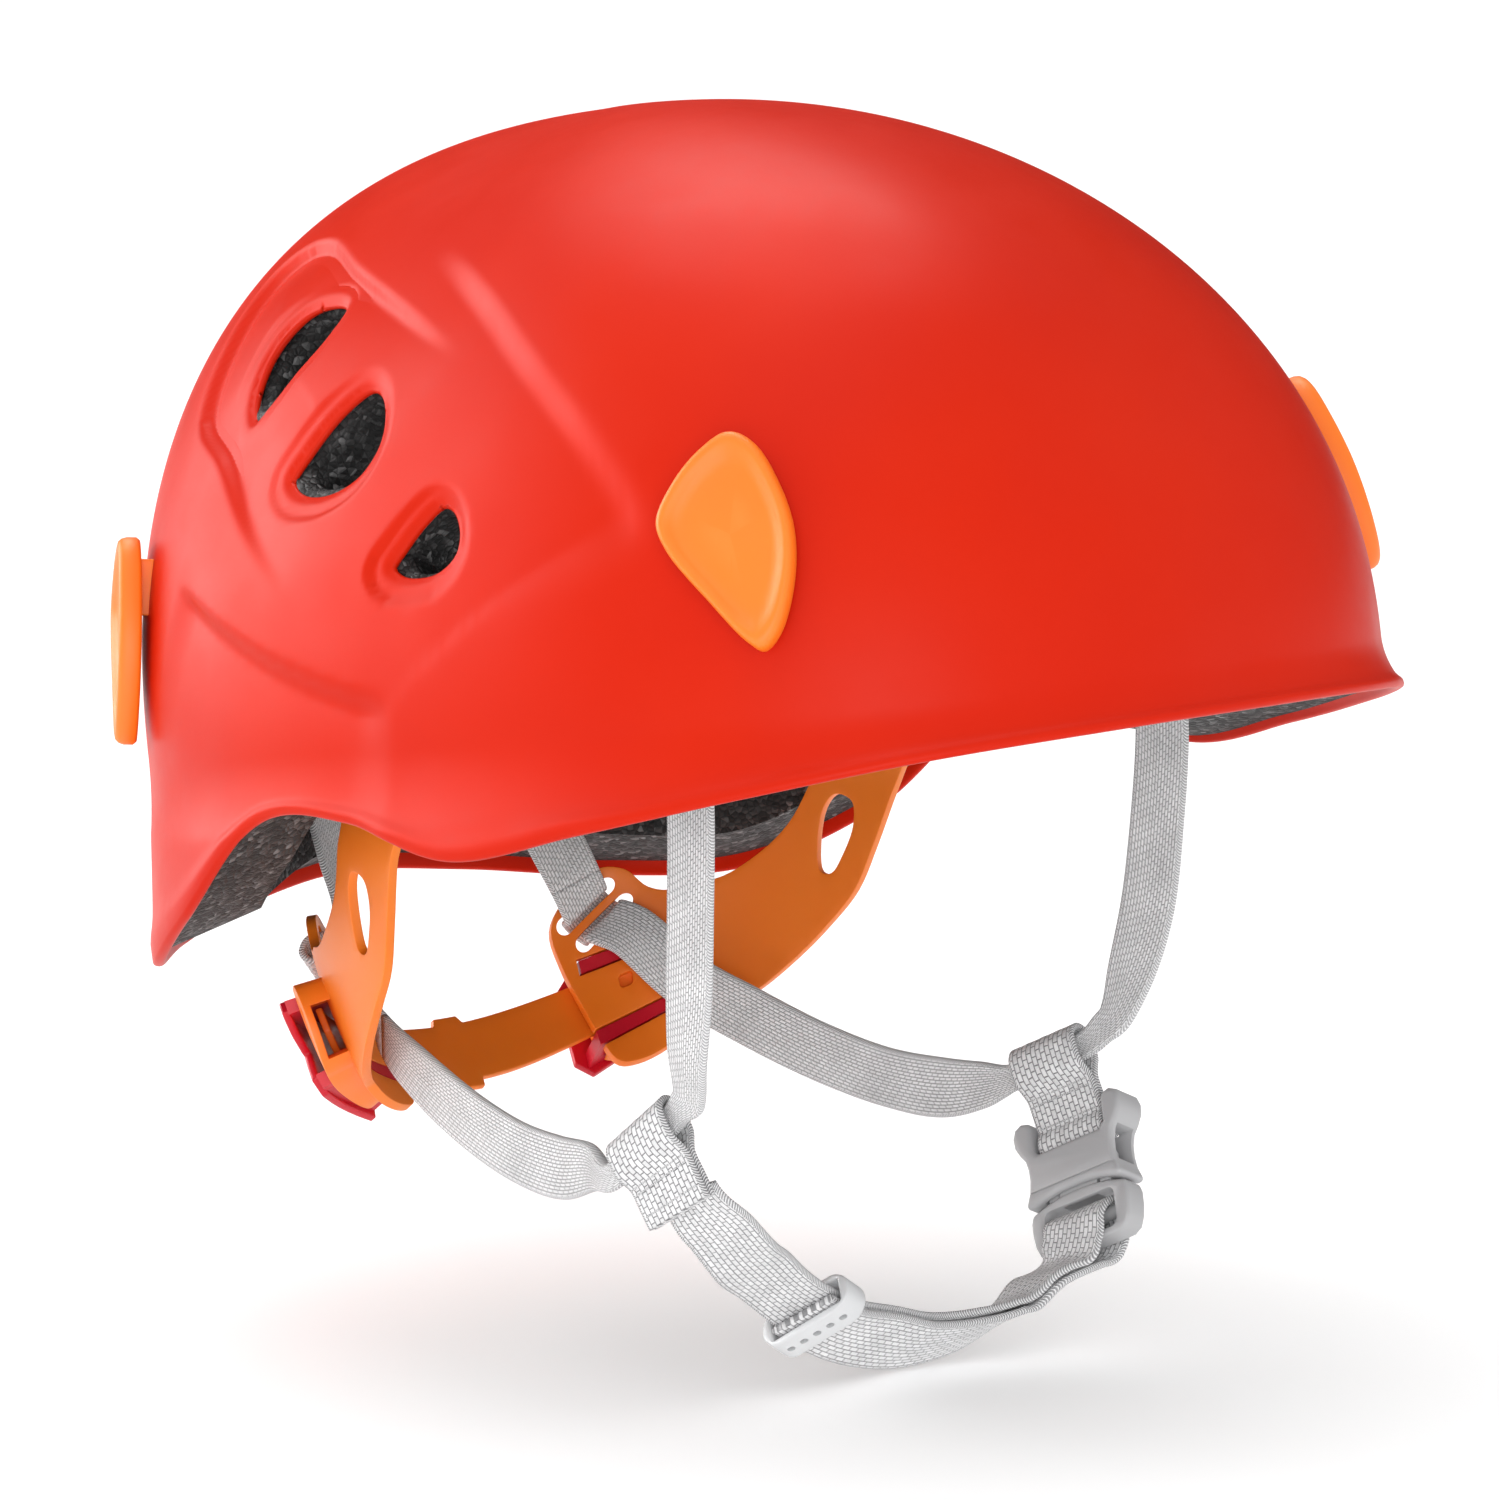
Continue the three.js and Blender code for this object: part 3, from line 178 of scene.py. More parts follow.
def plastic(name, colour, shade, rough, grain=9000.0, grain_depth=0.00002, worn=0.25, extras=None):
    """Moulded plastic: faint cloudiness, fine spark grain, and edges rubbed a little lighter."""
    made, tree, shader = start_material(name)
    place = add(tree, "ShaderNodeTexCoord").outputs["Object"]
    cloud = noise_at(tree, place, 22.0, 2)
    base = mix_colour(tree, ramp(tree, cloud, [(0.3, grey(0)), (0.7, grey(1))]), colour, shade)
    edge = ramp(tree, add(tree, "ShaderNodeNewGeometry").outputs["Pointiness"],
                [(0.51, grey(0)), (0.6, grey(1))])
    lighter = tuple(min(1.0, c * 1.25 + 0.05) for c in colour[:3]) + (1,)
    scuffs = noise_at(tree, place, 260.0, 4, 0.7)
    rubbed = math_node(tree, "MULTIPLY", edge, math_node(tree, "MULTIPLY", scuffs, worn))
    tree.links.new(mix_colour(tree, rubbed, base, lighter), shader.inputs["Base Color"])
    uneven = ramp(tree, noise_at(tree, place, 60.0, 5, 0.6),
                  [(0.3, grey(rough - 0.04)), (0.7, grey(rough + 0.05))])
    tree.links.new(uneven, shader.inputs["Roughness"])
    fine = noise_at(tree, place, grain, 1)
    wavy = noise_at(tree, place, 35.0, 1)
    first = bump(tree, wavy, 0.0002, 0.25)
    tree.links.new(bump(tree, fine, grain_depth, 1.0, first), shader.inputs["Normal"])
    for key, value in (extras or {}).items():
        shader.inputs[key].default_value = value
    return made


def foam():
    """Expanded foam: packed beads about a millimetre across, each its own shade, with dark joints."""
    made, tree, shader = start_material("foam_beads")
    place = add(tree, "ShaderNodeTexCoord").outputs["Object"]
    cells = {"Vector": place, "Scale": BEADS_PER_METRE}
    beads = add(tree, "ShaderNodeTexVoronoi", {"feature": "F1"}, cells)
    joints = add(tree, "ShaderNodeTexVoronoi", {"feature": "DISTANCE_TO_EDGE"},
                 cells).outputs["Distance"]
    split = add(tree, "ShaderNodeSeparateColor", inputs={"Color": beads.outputs["Color"]})
    shade = split.outputs[0]
    base = ramp(tree, shade, [(0.0, grey(0.008)), (0.6, grey(0.022)), (0.88, grey(0.05)),
                              (1.0, grey(0.16))])
    seam = ramp(tree, joints, [(0.0, grey(0.35)), (0.12, grey(1))])
    cloud = ramp(tree, noise_at(tree, place, 40.0, 3), [(0.3, grey(0.75)), (0.75, grey(1.3))])
    seamed = mix_colour(tree, 1.0, base, seam, "MULTIPLY")
    feed(tree, shader, {
        "Base Color": mix_colour(tree, 1.0, seamed, cloud, "MULTIPLY"),
        "Roughness": ramp(tree, shade, [(0.0, grey(0.75)), (1.0, grey(0.5))]),
        "Normal": bump(tree, joints, 0.0012, 0.6)})
    return made


def webbing(name, light, dark, width, along=1.55, across=0.95, slant=0.0):
    """Woven tape in its own UV, in millimetres: staggered floats over a dark ground, and a corded
    selvedge. along and across are the size of a float."""
    made, tree, shader = start_material(name)
    uv = add(tree, "ShaderNodeUVMap", {"uv_map": "weave"}).outputs["UV"]
    split = add(tree, "ShaderNodeSeparateXYZ", inputs={"Vector": uv})
    u, v = split.outputs[0], split.outputs[1]
    from_middle = math_node(tree, "ABSOLUTE", u)
    leaning = math_node(tree, "ADD", v, multiply(tree, from_middle, slant))
    drift = math_node(tree, "SUBTRACT", noise_at(tree, uv, 0.35, 2), 0.5)
    place = add(tree, "ShaderNodeCombineXYZ", inputs={
        0: math_node(tree, "ADD", leaning, multiply(tree, drift, 0.5)), 1: u, 2: 0.0}).outputs[0]
    weave = add(tree, "ShaderNodeTexBrick", {"offset": 0.5, "offset_frequency": 2}, {
        "Vector": place, "Color1": grey(1), "Color2": grey(0.78), "Mortar": grey(0), "Scale": 1.0,
        "Mortar Size": 0.18, "Mortar Smooth": 1.0, "Bias": 0.0, "Brick Width": along,
        "Row Height": across}).outputs["Color"]
    soiled = ramp(tree, noise_at(tree, uv, 0.12, 4), [(0.25, grey(0.86)), (0.7, grey(1.04))])
    drawn = add(tree, "ShaderNodeMapping", inputs={"Vector": place, "Scale": (1.2, 9.0, 1.0)})
    fibres = ramp(tree, noise_at(tree, drawn.outputs[0], 2.0, 3),
                  [(0.3, grey(0.85)), (0.7, grey(1.1))])
    base = mix_colour(tree, weave, dark, light)
    for layer in (soiled, fibres):
        base = mix_colour(tree, 1.0, base, layer, "MULTIPLY")
    diagonal = add(tree, "ShaderNodeCombineXYZ", inputs={
        0: math_node(tree, "ADD", v, u), 1: 0.0, 2: 0.0}).outputs[0]
    rope = add(tree, "ShaderNodeTexWave", {"wave_type": "BANDS", "bands_direction": "X"},
               {"Vector": diagonal, "Scale": 0.55}).outputs["Fac"]
    at_edge = math_node(tree, "GREATER_THAN", from_middle, width / 2 - SELVEDGE)
    feed(tree, shader, {
        "Base Color": mix_colour(tree, at_edge, base, mix_colour(tree, rope, dark, light)),
        "Roughness": ramp(tree, weave, [(0, grey(0.75)), (1, grey(0.5))]),
        "Normal": bump(tree, mix_colour(tree, at_edge, weave, rope), 0.0003, 0.75)})
    shader.inputs["Sheen Weight"].default_value = 0.15
    shader.inputs["Sheen Roughness"].default_value = 0.4
    return made


def thread(name, colour):
    made, tree, shader = start_material(name)
    place = add(tree, "ShaderNodeTexCoord").outputs["Object"]
    twist = add(tree, "ShaderNodeTexWave", {"bands_direction": "DIAGONAL"},
                {"Vector": place, "Scale": 900.0, "Distortion": 1.5}).outputs["Fac"]
    dark = tuple(c * 0.55 for c in colour[:3]) + (1,)
    tree.links.new(mix_colour(tree, twist, dark, colour), shader.inputs["Base Color"])
    tree.links.new(bump(tree, twist, 0.0001, 0.5), shader.inputs["Normal"])
    shader.inputs["Roughness"].default_value = 0.6
    return made


def brushed_cloth():
    """Short-napped pad cloth with a fine knit under the nap."""
    made, tree, shader = start_material("pad_cloth")
    place = add(tree, "ShaderNodeTexCoord").outputs["Object"]
    knit = add(tree, "ShaderNodeTexVoronoi",
               inputs={"Vector": place, "Scale": 1400.0}).outputs["Distance"]
    nap = noise_at(tree, place, 900.0, 5, 0.7)
    both = math_node(tree, "ADD", knit, nap)
    feed(tree, shader, {"Base Color": ramp(tree, both, [(0.4, grey(0.012)), (1.1, grey(0.05))]),
                        "Roughness": ramp(tree, nap, [(0.3, grey(0.8)), (0.7, grey(0.95))]),
                        "Normal": bump(tree, both, 0.0004, 0.5)})
    shader.inputs["Sheen Weight"].default_value = 0.4
    return made


MATERIALS = {
    "shell_plastic": plastic("shell_paint", (0.6, 0.016, 0.001, 1), (0.575, 0.013, 0.001, 1), 0.4,
                             grain=5000.0, grain_depth=0.000008, worn=0.1,
                             extras={"Specular IOR Level": 0.12}),
    "orange_plastic": plastic("orange_moulded", (0.97, 0.22, 0.012, 1), (0.94, 0.19, 0.009, 1), 0.42,
                              extras={"Subsurface Weight": 0.06, "Subsurface Scale": 0.6,
                                      "Subsurface Radius": (0.004, 0.0015, 0.0008)}),
    "red_plastic": plastic("red_moulded", (0.62, 0.004, 0.022, 1), (0.55, 0.003, 0.018, 1), 0.38),
    "buckle_plastic": plastic("grey_moulded", (0.5, 0.5, 0.51, 1), (0.45, 0.45, 0.46, 1), 0.42),
    "keeper_plastic": plastic("pale_moulded", (0.72, 0.73, 0.74, 1), (0.68, 0.69, 0.70, 1), 0.35),
    "dark_plastic": plastic("dark_moulded", (0.05, 0.05, 0.055, 1), (0.035, 0.035, 0.04, 1), 0.45),
    "foam": foam(),
    "pad_fabric": brushed_cloth(),
    "webbing": webbing("tape_narrow", (0.96, 0.96, 0.97, 1), (0.42, 0.42, 0.43, 1),
                       STRAP_WIDTH, 1.5, 0.72, 0.5),
}
WIDE_TAPE = webbing("tape_wide", (0.95, 0.95, 0.96, 1), (0.3, 0.3, 0.31, 1), CHIN_WIDTH, 2.0, 1.05)
YOKE_TAPE = webbing("tape_yoke", (0.94, 0.94, 0.95, 1), (0.24, 0.24, 0.25, 1), YOKE_WIDTH, 1.8,
                    1.15)
THREAD = thread("stitch_thread", (0.7, 0.7, 0.71, 1))


# ---- Mesh helpers ----------------------------------------------------
def smooth(mesh, degrees):
    mesh.shade_smooth()
    if degrees < 180:
        mesh.set_sharp_from_angle(angle=math.radians(degrees))


def piece(name, verts, faces, slot, body=None, nodes=(), sharp=180, uv=None, look=None):
    """A finished piece from points in millimetres."""
    mesh = bpy.data.meshes.new(name)
    points = (np.asarray(verts, float) * MM).tolist()
    mesh.from_pydata(points, [], [list(map(int, f)) for f in faces])
    mesh.update()
    if uv is not None:
        layer = mesh.uv_layers.new(name="weave")
        loops = np.empty(len(mesh.loops), int)
        mesh.loops.foreach_get("vertex_index", loops)
        layer.data.foreach_set("uv", np.asarray(uv, np.float32)[loops].ravel())
    smooth(mesh, sharp)
    made = bpy.data.objects.new(name, mesh)
    SCENE.collection.objects.link(made)
    mesh.materials.append(look or MATERIALS[slot])
    if nodes:
        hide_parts(*nodes)
    if body:
        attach(made, body)
    return made


def mirror(verts, faces):
    verts = np.array(verts, float)
    verts[:, 1] *= -1
    return verts, [list(f)[::-1] for f in faces]


def both_sides(name, verts, faces, slot, bodies, nodes, sharp):
    """The left piece and its mirror image."""
    for side in ("left", "right"):
        shape = (verts, faces) if side == "left" else mirror(verts, faces)
        piece(f"{name}_{side}", *shape, slot, bodies.format(side=side),
              [node.format(side=side) for node in nodes], sharp=sharp)


def curve_loop(points, count):
    """A closed centripetal spline through the points."""
    points = np.asarray(points, float)
    return np.array([spline(points, i / count, True) for i in range(count)])


def spline(points, t, closed=False, power=0.25):
    """The CAD's spline: centripetal by default; power 0 makes it uniform."""
    n = len(points)
    spot = (n if closed else n - 1) * t
    i = int(math.floor(spot))
    weight = spot - i
    if not closed and i >= n - 1:
        i, weight = n - 2, 1.0
    if closed:
        p0, p1, p2, p3 = (points[(i + k) % n] for k in (-1, 0, 1, 2))
    else:
        p1, p2 = points[i], points[i + 1]
        p0 = points[i - 1] if i > 0 else 2 * points[0] - points[1]
        p3 = points[i + 2] if i + 2 < n else 2 * points[-1] - points[-2]
    if power == 0:
        m1, m2 = (p2 - p0) * 0.5, (p3 - p1) * 0.5
    else:
        gaps = [np.sum((b - a) ** 2) ** power for a, b in ((p0, p1), (p1, p2), (p2, p3))]
        d1 = gaps[1] if gaps[1] > 1e-4 else 1.0
        d0 = gaps[0] if gaps[0] > 1e-4 else d1
        d2 = gaps[2] if gaps[2] > 1e-4 else d1
        m1 = ((p1 - p0) / d0 - (p2 - p0) / (d0 + d1) + (p2 - p1) / d1) * d1
        m2 = ((p2 - p1) / d1 - (p3 - p1) / (d1 + d2) + (p3 - p2) / d2) * d1
    w2, w3 = weight * weight, weight ** 3
    return (p1 * (2 * w3 - 3 * w2 + 1) + m1 * (w3 - 2 * w2 + weight)
            + p2 * (3 * w2 - 2 * w3) + m2 * (w3 - w2))


def smoothstep(t):
    return t * t * (3 - 2 * t)


def signed_distance(points, loop):
    """Distance from 2-D points to a closed loop, negative inside."""
    a, b = loop, np.roll(loop, -1, axis=0)
    best = np.full(len(points), FAR)
    inside = np.zeros(len(points), bool)
    for p, q in zip(a, b):
        edge = q - p
        t = np.clip(((points - p) @ edge) / (edge @ edge), 0, 1)
        best = np.minimum(best, np.linalg.norm(points - p - t[:, None] * edge, axis=1))
        crosses = (p[1] > points[:, 1]) != (q[1] > points[:, 1])
        with np.errstate(divide="ignore", invalid="ignore"):
            at = (q[0] - p[0]) * (points[:, 1] - p[1]) / (q[1] - p[1]) + p[0]
        inside ^= crosses & (points[:, 0] < at)
    return np.where(inside, -best, best)


# ---- The dome --------------------------------------------------------
def dome(theta, height, inset):
    theta, height = np.asarray(theta, float), np.asarray(height, float)
    c, s = np.cos(theta), np.sin(theta)
    front = c > 0
    above = np.maximum(height, 0) / (DOME_HEIGHT - inset)
    drop = np.maximum(-height, 0)
    power = np.where(front, PROFILE[0], PROFILE[2]) * c * c + PROFILE[1] * (1 - c * c)
    flare = np.where(front, FLARE[0], FLARE[2]) * c * c + FLARE[1] * (1 - c * c)
    flare = flare * drop * np.minimum(drop / FLARE_RUN, 1)
    plan = np.where(front, PLAN_FRONT, PLAN_REAR)
    half = np.where(front, HALF_FRONT, HALF_REAR) - inset
    radius = (np.abs(c) / half) ** plan + (np.abs(s) / (HALF_WIDTH - inset)) ** plan
    radius = radius ** (-1 / plan) + flare
    radius = radius * np.maximum(1 - above ** power, 0) ** (1 / power)
    x = radius * c + CROWN_SHIFT * above ** 2
    return np.stack([x * math.cos(PITCH) - height * math.sin(PITCH), radius * s,
                     x * math.sin(PITCH) + height * math.cos(PITCH)], axis=-1)


def rim_height(theta):
    at = np.abs((np.degrees(theta) + 180) % 360 - 180) / RIM_STEP
    last = len(RIM_HEIGHTS) - 1
    i = np.minimum(np.floor(at), last - 1).astype(int)
    t = at - i
    table = np.array(RIM_HEIGHTS, float)

    def pick(k):
        k = np.abs(k)
        return table[np.where(k > last, 2 * last - k, k)]
    a, b, c, d = pick(i - 1), pick(i), pick(i + 1), pick(i + 2)
    return 0.5 * (2 * b + (c - a) * t + (2 * a - 5 * b + 4 * c - d) * t * t
                  + (3 * b - a - 3 * c + d) * t ** 3)


def on_dome(params, inset, rise):
    """A point for each (theta, q): q is -1 at the rim, 0 at the base plane and 1 at the crown."""
    theta, q = params[:, 0], params[:, 1]
    rim = np.minimum(rim_height(theta) + rise, -0.5)
    over = np.sin(np.maximum(q, 0) * math.pi / 2) * (DOME_HEIGHT - inset)
    return dome(theta, np.where(q < 0, -rim * q, over), inset)


def strips(rows, count, closed=True, turned=False):
    """Quads between each row of points and the next."""
    faces = []
    for j in range(rows - 1):
        for i in range(count if closed else count - 1):
            n = (i + 1) % count
            a, b, c, d = j * count + i, j * count + n, (j + 1) * count + n, (j + 1) * count + i
            faces.append([a, d, c, b] if turned else [a, b, c, d])
    return faces


def packed(low, high, count, dense, share):
    """Values from low up to high, with most of them inside the dense ranges."""
    marks = np.linspace(low, high, 2001)
    weight = np.full(len(marks), 1.0)
    for a, b in dense:
        weight += share * (np.tanh((marks - a) / 0.05) - np.tanh((marks - b) / 0.05)) / 2
    total = np.concatenate([[0], np.cumsum((weight[1:] + weight[:-1]) / 2)])
    return np.interp(np.linspace(0, total[-1], count, endpoint=False), total, marks)


def dome_grid(columns, low_rows, high_rows, share=0.0):
    """A grid over the dome, finer by the vents and the moulded steps where share is above 0."""
    sides = [(math.radians(58), math.radians(152)), (math.radians(208), math.radians(302))]
    around = packed(0, 2 * math.pi, columns, sides, share)
    rows = np.concatenate([np.linspace(-1, 0, low_rows, endpoint=False),
                           packed(0, 0.99, high_rows, [(0.16, 0.74)], share * 0.6), [0.99]])
    params = [(a, q) for q in rows for a in around] + [(0.0, 1.0)]
    faces = strips(len(rows), columns)
    top = len(params) - 1
    base = (len(rows) - 1) * columns
    faces += [[base + c, base + (c + 1) % columns, top] for c in range(columns)]
    return np.array(params), faces


def clip(params, faces, values):
    """Keeps the part of the faces where the value is positive, with new points on the zero line."""
    params = [tuple(p) for p in params]
    cache = {}
    kept = []

    def crossing(a, b):
        key = (min(a, b), max(a, b))
        if key not in cache:
            pa, pb = np.array(params[key[0]]), np.array(params[key[1]])
            if abs(pa[0] - pb[0]) > math.pi:
                pb[0] += 2 * math.pi if pb[0] < pa[0] else -2 * math.pi
            t = values[key[0]] / (values[key[0]] - values[key[1]])
            cache[key] = len(params)
            params.append(tuple(pa + (pb - pa) * t))
        return cache[key]

    for face in faces:
        signs = [values[v] > 0 for v in face]
        if all(signs):
            kept.append(list(face))
            continue
        if not any(signs):
            continue
        polygon = []
        for k, v in enumerate(face):
            w = face[(k + 1) % len(face)]
            if values[v] > 0:
                polygon.append(v)
            if (values[v] > 0) != (values[w] > 0):
                polygon.append(crossing(v, w))
        if len(polygon) > 2:
            kept.append(polygon)
    used = sorted({v for f in kept for v in f})
    index = {v: k for k, v in enumerate(used)}
    return np.array([params[v] for v in used]), [[index[v] for v in f] for f in kept]


def boundary_edges(faces):
    seen = {}
    for face in faces:
        for k, v in enumerate(face):
            seen[(v, face[(k + 1) % len(face)])] = True
    return [(a, b) for a, b in seen if (b, a) not in seen]


def two_walled(outer, inner, faces, bulge=0.7, rings=4):
    """Closes two walls of the same faces with a rounded edge along every open border."""
    count = len(outer)
    edges = boundary_edges(faces)
    after = {a: b for a, b in edges}
    before = {b: a for a, b in edges}
    verts = [outer, inner]
    made = [list(f) for f in faces] + [[v + count for v in f[::-1]] for f in faces]
    border = sorted(after)
    slot_of = {v: k for k, v in enumerate(border)}
    out_way = np.zeros((len(border), 3))
    for v in border:
        along = outer[after[v]] - outer[before.get(v, v)]
        out_way[slot_of[v]] = unit(np.cross(along, outer[v] - inner[v]))
    middle = (outer[border] + inner[border]) / 2
    half = (outer[border] - inner[border]) / 2
    for k in range(1, rings):
        angle = math.pi * k / rings
        verts.append(middle + half * math.cos(angle) + out_way * (bulge * math.sin(angle)))

    def ring(v, k):
        if k == 0:
            return v
        if k == rings:
            return v + count
        return 2 * count + (k - 1) * len(border) + slot_of[v]
    for a, b in edges:
        for k in range(rings):
            made.append([ring(b, k), ring(a, k), ring(a, k + 1), ring(b, k + 1)])
    return np.concatenate(verts), made


def vent_loops(scale):
    loops = []
    for points in VENTS:
        points = np.array(points, float)
        middle = points.mean(axis=0)
        loops.append(curve_loop(middle + (points - middle) * scale, 72))
    return loops


def vent_distance(points, scale=1.0):
    flat = points[:, [0, 2]]
    near = np.full(len(points), 60.0)
    x, y, z = points.T
    pick = (np.abs(y) > 20) & (z > 20) & (x < 40) & (x > -75)
    for loop in vent_loops(scale):
        near[pick] = np.minimum(near[pick], signed_distance(flat[pick], loop))
    return near


# Character lines on the wearer's left: points, height of the step, its width, how far it lasts.
CREASE_STEPS = 60
CREASES = [
    ([(-13.2, 99.3, 22.3), (-36.6, 92.8, 36.3), (-54.2, 83.8, 48.8), (-70, 74.7, 55.2), (-74.5, 64, 68),
      (-73, 54.2, 80.9), (-66, 52, 87), (-56, 54.1, 88.6), (-39.3, 63, 84.7), (-12, 73.2, 77.7),
      (6.9, 79.1, 72)], 2.6, 3.4, 24.0),
    ([(-20.8, 59.4, 90.8), (4.1, 71, 82.3), (23, 78.7, 72.9), (45.1, 84.4, 59.4), (57.7, 86.4, 49.2),
      (64.7, 88.2, 38.6)], 1.8, 6.0, 34.0),
    ([(-62, 89, 25), (-52.5, 92.6, 21.5), (-38.2, 96.9, 17.5), (-20.3, 100.2, 13.2), (1.7, 101.6, 9.8),
      (13.2, 101.5, 10.1)], 1.9, 3.6, 20.0),
]


def crease_depth(points):
    """How far the moulded steps sink the surface at each point."""
    side = np.stack([points[:, 0], np.abs(points[:, 1]), points[:, 2]], axis=1)
    depth = np.zeros(len(points))
    for line, size, width, lasts in CREASES:
        line = np.array(line, float)
        dense = [spline(line, k / CREASE_STEPS) for k in range(CREASE_STEPS + 1)]
        best = np.full(len(points), FAR)
        sign = np.zeros(len(points))
        along = np.zeros(len(points))
        for k in range(CREASE_STEPS):
            p, way = dense[k], dense[k + 1] - dense[k]
            t = np.clip(((side - p) @ way) / (way @ way), 0, 1)
            off = side - p - t[:, None] * way
            gap = np.linalg.norm(off, axis=1)
            closer = gap < best
            turn = np.cross(way, off) @ unit(p * [0.6, 1.0, 1.0])
            best = np.where(closer, gap, best)
            sign = np.where(closer, np.sign(turn), sign)
            along = np.where(closer, (k + t) / CREASE_STEPS, along)
        reach = best * sign
        step = smoothstep(np.clip((reach + width / 2) / width, 0, 1))
        step = step * np.exp(-np.maximum(reach, 0) / lasts)
        ends = smoothstep(np.clip(np.minimum(along, 1 - along) * 5, 0, 1))
        depth += size * step * (ends * np.clip((70 - best) / 30, 0, 1))
    return depth


LIP_WIDTH, LIP_DEPTH = 1.6, 0.7
SHELF_WIDTH, SHELF_STEP, SHELF_DEPTH = 2.6, 1.1, 1.3
SHELF_SHIFT = (1.0, 0.0, 0.8)
INSIDE_SHARE = 0.85  # how much of the shelf and lip shows inside
SHELL_LOW_ROWS = 22  # rows of points between the rim and the base plane
BEAD, BEAD_AT, BEAD_WIDTH = 0.55, 2.2, 1.8  # the rim's bead, its place and width in rows
CHAMFER_DEPTH, CHAMFER_WIDTH = 2.6, 2.2


def inward_way(outer, inner):
    way = inner - outer
    return way / np.linalg.norm(way, axis=1)[:, None]


def shell_pieces():
    params, faces = dome_grid(440, SHELL_LOW_ROWS, 150, 1.6)
    params, faces = clip(params, faces, vent_distance(on_dome(params, 0, 0)))
    outer, inner = on_dome(params, 0, 0), on_dome(params, SHELL_THICK, 0)
    inward = inward_way(outer, inner)
    gap = np.maximum(vent_distance(outer), 0)
    shelf_gap = np.maximum(vent_distance(outer + np.array(SHELF_SHIFT)), 0)
    shelf_gap = np.maximum(gap * 0.55, shelf_gap)
    shelf = smoothstep(np.clip((SHELF_WIDTH + SHELF_STEP - shelf_gap) / SHELF_STEP, 0, 1))
    dished = SHELF_DEPTH * shelf + LIP_DEPTH * np.clip(1 - gap / LIP_WIDTH, 0, 1) ** 2
    sink = dished + crease_depth(outer) * (1 - 0.7 * shelf)
    above_rim = (params[:, 1] + 1) * SHELL_LOW_ROWS
    bead = BEAD * np.exp(-((above_rim - BEAD_AT) / BEAD_WIDTH) ** 2) * (params[:, 1] < 0)
    outer = outer + inward * (sink - bead)[:, None]
    inner = inner + inward * (INSIDE_SHARE * dished)[:, None]
    verts, faces = two_walled(outer, inner, faces, 0.8, 6)
    piece("shell_moulded", verts, faces, "shell_plastic", "helmet", ["outer_shell"])


def liner_pieces():
    params, faces = dome_grid(220, 10, 60)
    probe = on_dome(params, LINER_OUTER, LINER_RAISE_OUT[1])
    params, faces = clip(params, faces, vent_distance(probe, VENT_IN_FOAM))
    rear = np.clip(-2 * np.cos(params[:, 0]) - 0.2, 0, 1)
    outer, inner = (on_dome(params, inset, side + (back - side) * rear)
                    for inset, (side, back) in ((LINER_OUTER, LINER_RAISE_OUT),
                                                (LINER_INNER, LINER_RAISE_IN)))
    gap = np.maximum(vent_distance(outer, VENT_IN_FOAM), 0)
    chamfer = CHAMFER_DEPTH * np.clip(1 - gap / CHAMFER_WIDTH, 0, 1)
    outer = outer + inward_way(outer, inner) * chamfer[:, None]
    verts, faces = two_walled(outer, inner, faces, 0.0, 6)
    piece("liner_foam", verts, faces, "foam", "helmet", ["foam_liner"], sharp=50)


# ---- Frames on the dome ----------------------------------------------
def dome_frame(theta_degrees, height, inset):
    """Columns: along the surface, up it, outward; and the place."""
    theta = math.radians(theta_degrees)
    origin = dome(theta, height, inset)
    up = unit(dome(theta, height + 0.5, inset) - dome(theta, height - 0.5, inset))
    side = unit(dome(theta + 0.01, height, inset) - dome(theta - 0.01, height, inset))
    out = unit(np.cross(side, up))
    return np.array([np.cross(up, out), up, out]), origin


CLIP_OUTLINE = [(-3, 20.2), (2.6, 18), (8.4, 13), (12.4, 6.6), (11.4, 1.2), (5, -9.8), (-0.6, -18.2),
                (-3.2, -20.2), (-6.4, -17.8), (-10.3, -9.2), (-11.8, 0.6), (-10.3, 9.8), (-7, 17.6)]
# Rings of the clip's face: share of the outline's reach, height over the shell.
CLIP_RINGS = [(0.0, 1.2), (0.5, 1.2), (0.86, 1.15), (0.97, 1.3), (1.0, 2.0), (1.0, 3.8), (0.985, 4.8),
              (0.955, 5.45), (0.91, 5.65), (0.86, 5.5), (0.8, 5.0), (0.74, 4.5), (0.64, 4.3), (0.5, 4.2),
              (0.25, 4.15), (0.0, 4.13)]

CLIP_MIDDLE = np.array([-0.6, 1.5])
CLIP_STEM = (11, 11, 3.0)


def clip_pieces():
    loop = curve_loop(CLIP_OUTLINE, 96)
    count, rings = len(loop), len(CLIP_RINGS)
    verts = [np.column_stack([CLIP_MIDDLE + (loop - CLIP_MIDDLE) * max(share, 0.001),
                              np.full(count, high)]) for share, high in CLIP_RINGS]
    faces = strips(rings, count, turned=True)
    faces += [list(range(count)), list(range((rings - 1) * count, rings * count))[::-1]]
    verts, faces = merged([(np.concatenate(verts), faces), box_shape(*CLIP_STEM, -0.8, 10.5, 0.0)])
    faces = [f[::-1] for f in faces]
    for name, theta, height in (("front", 43.5, 30), ("rear", 136, 23)):
        axes, origin = dome_frame(theta, height, 0)
        both_sides(f"clip_{name}", verts @ axes + origin, faces, "orange_plastic", "helmet",
                   [f"lamp_clip_{name}_{{side}}"], sharp=60)


def taken(bm):
    """A bmesh's points and faces; it is freed."""
    verts = np.array([v.co for v in bm.verts])
    faces = [[v.index for v in f.verts] for f in bm.faces]
    bm.free()
    return verts, faces


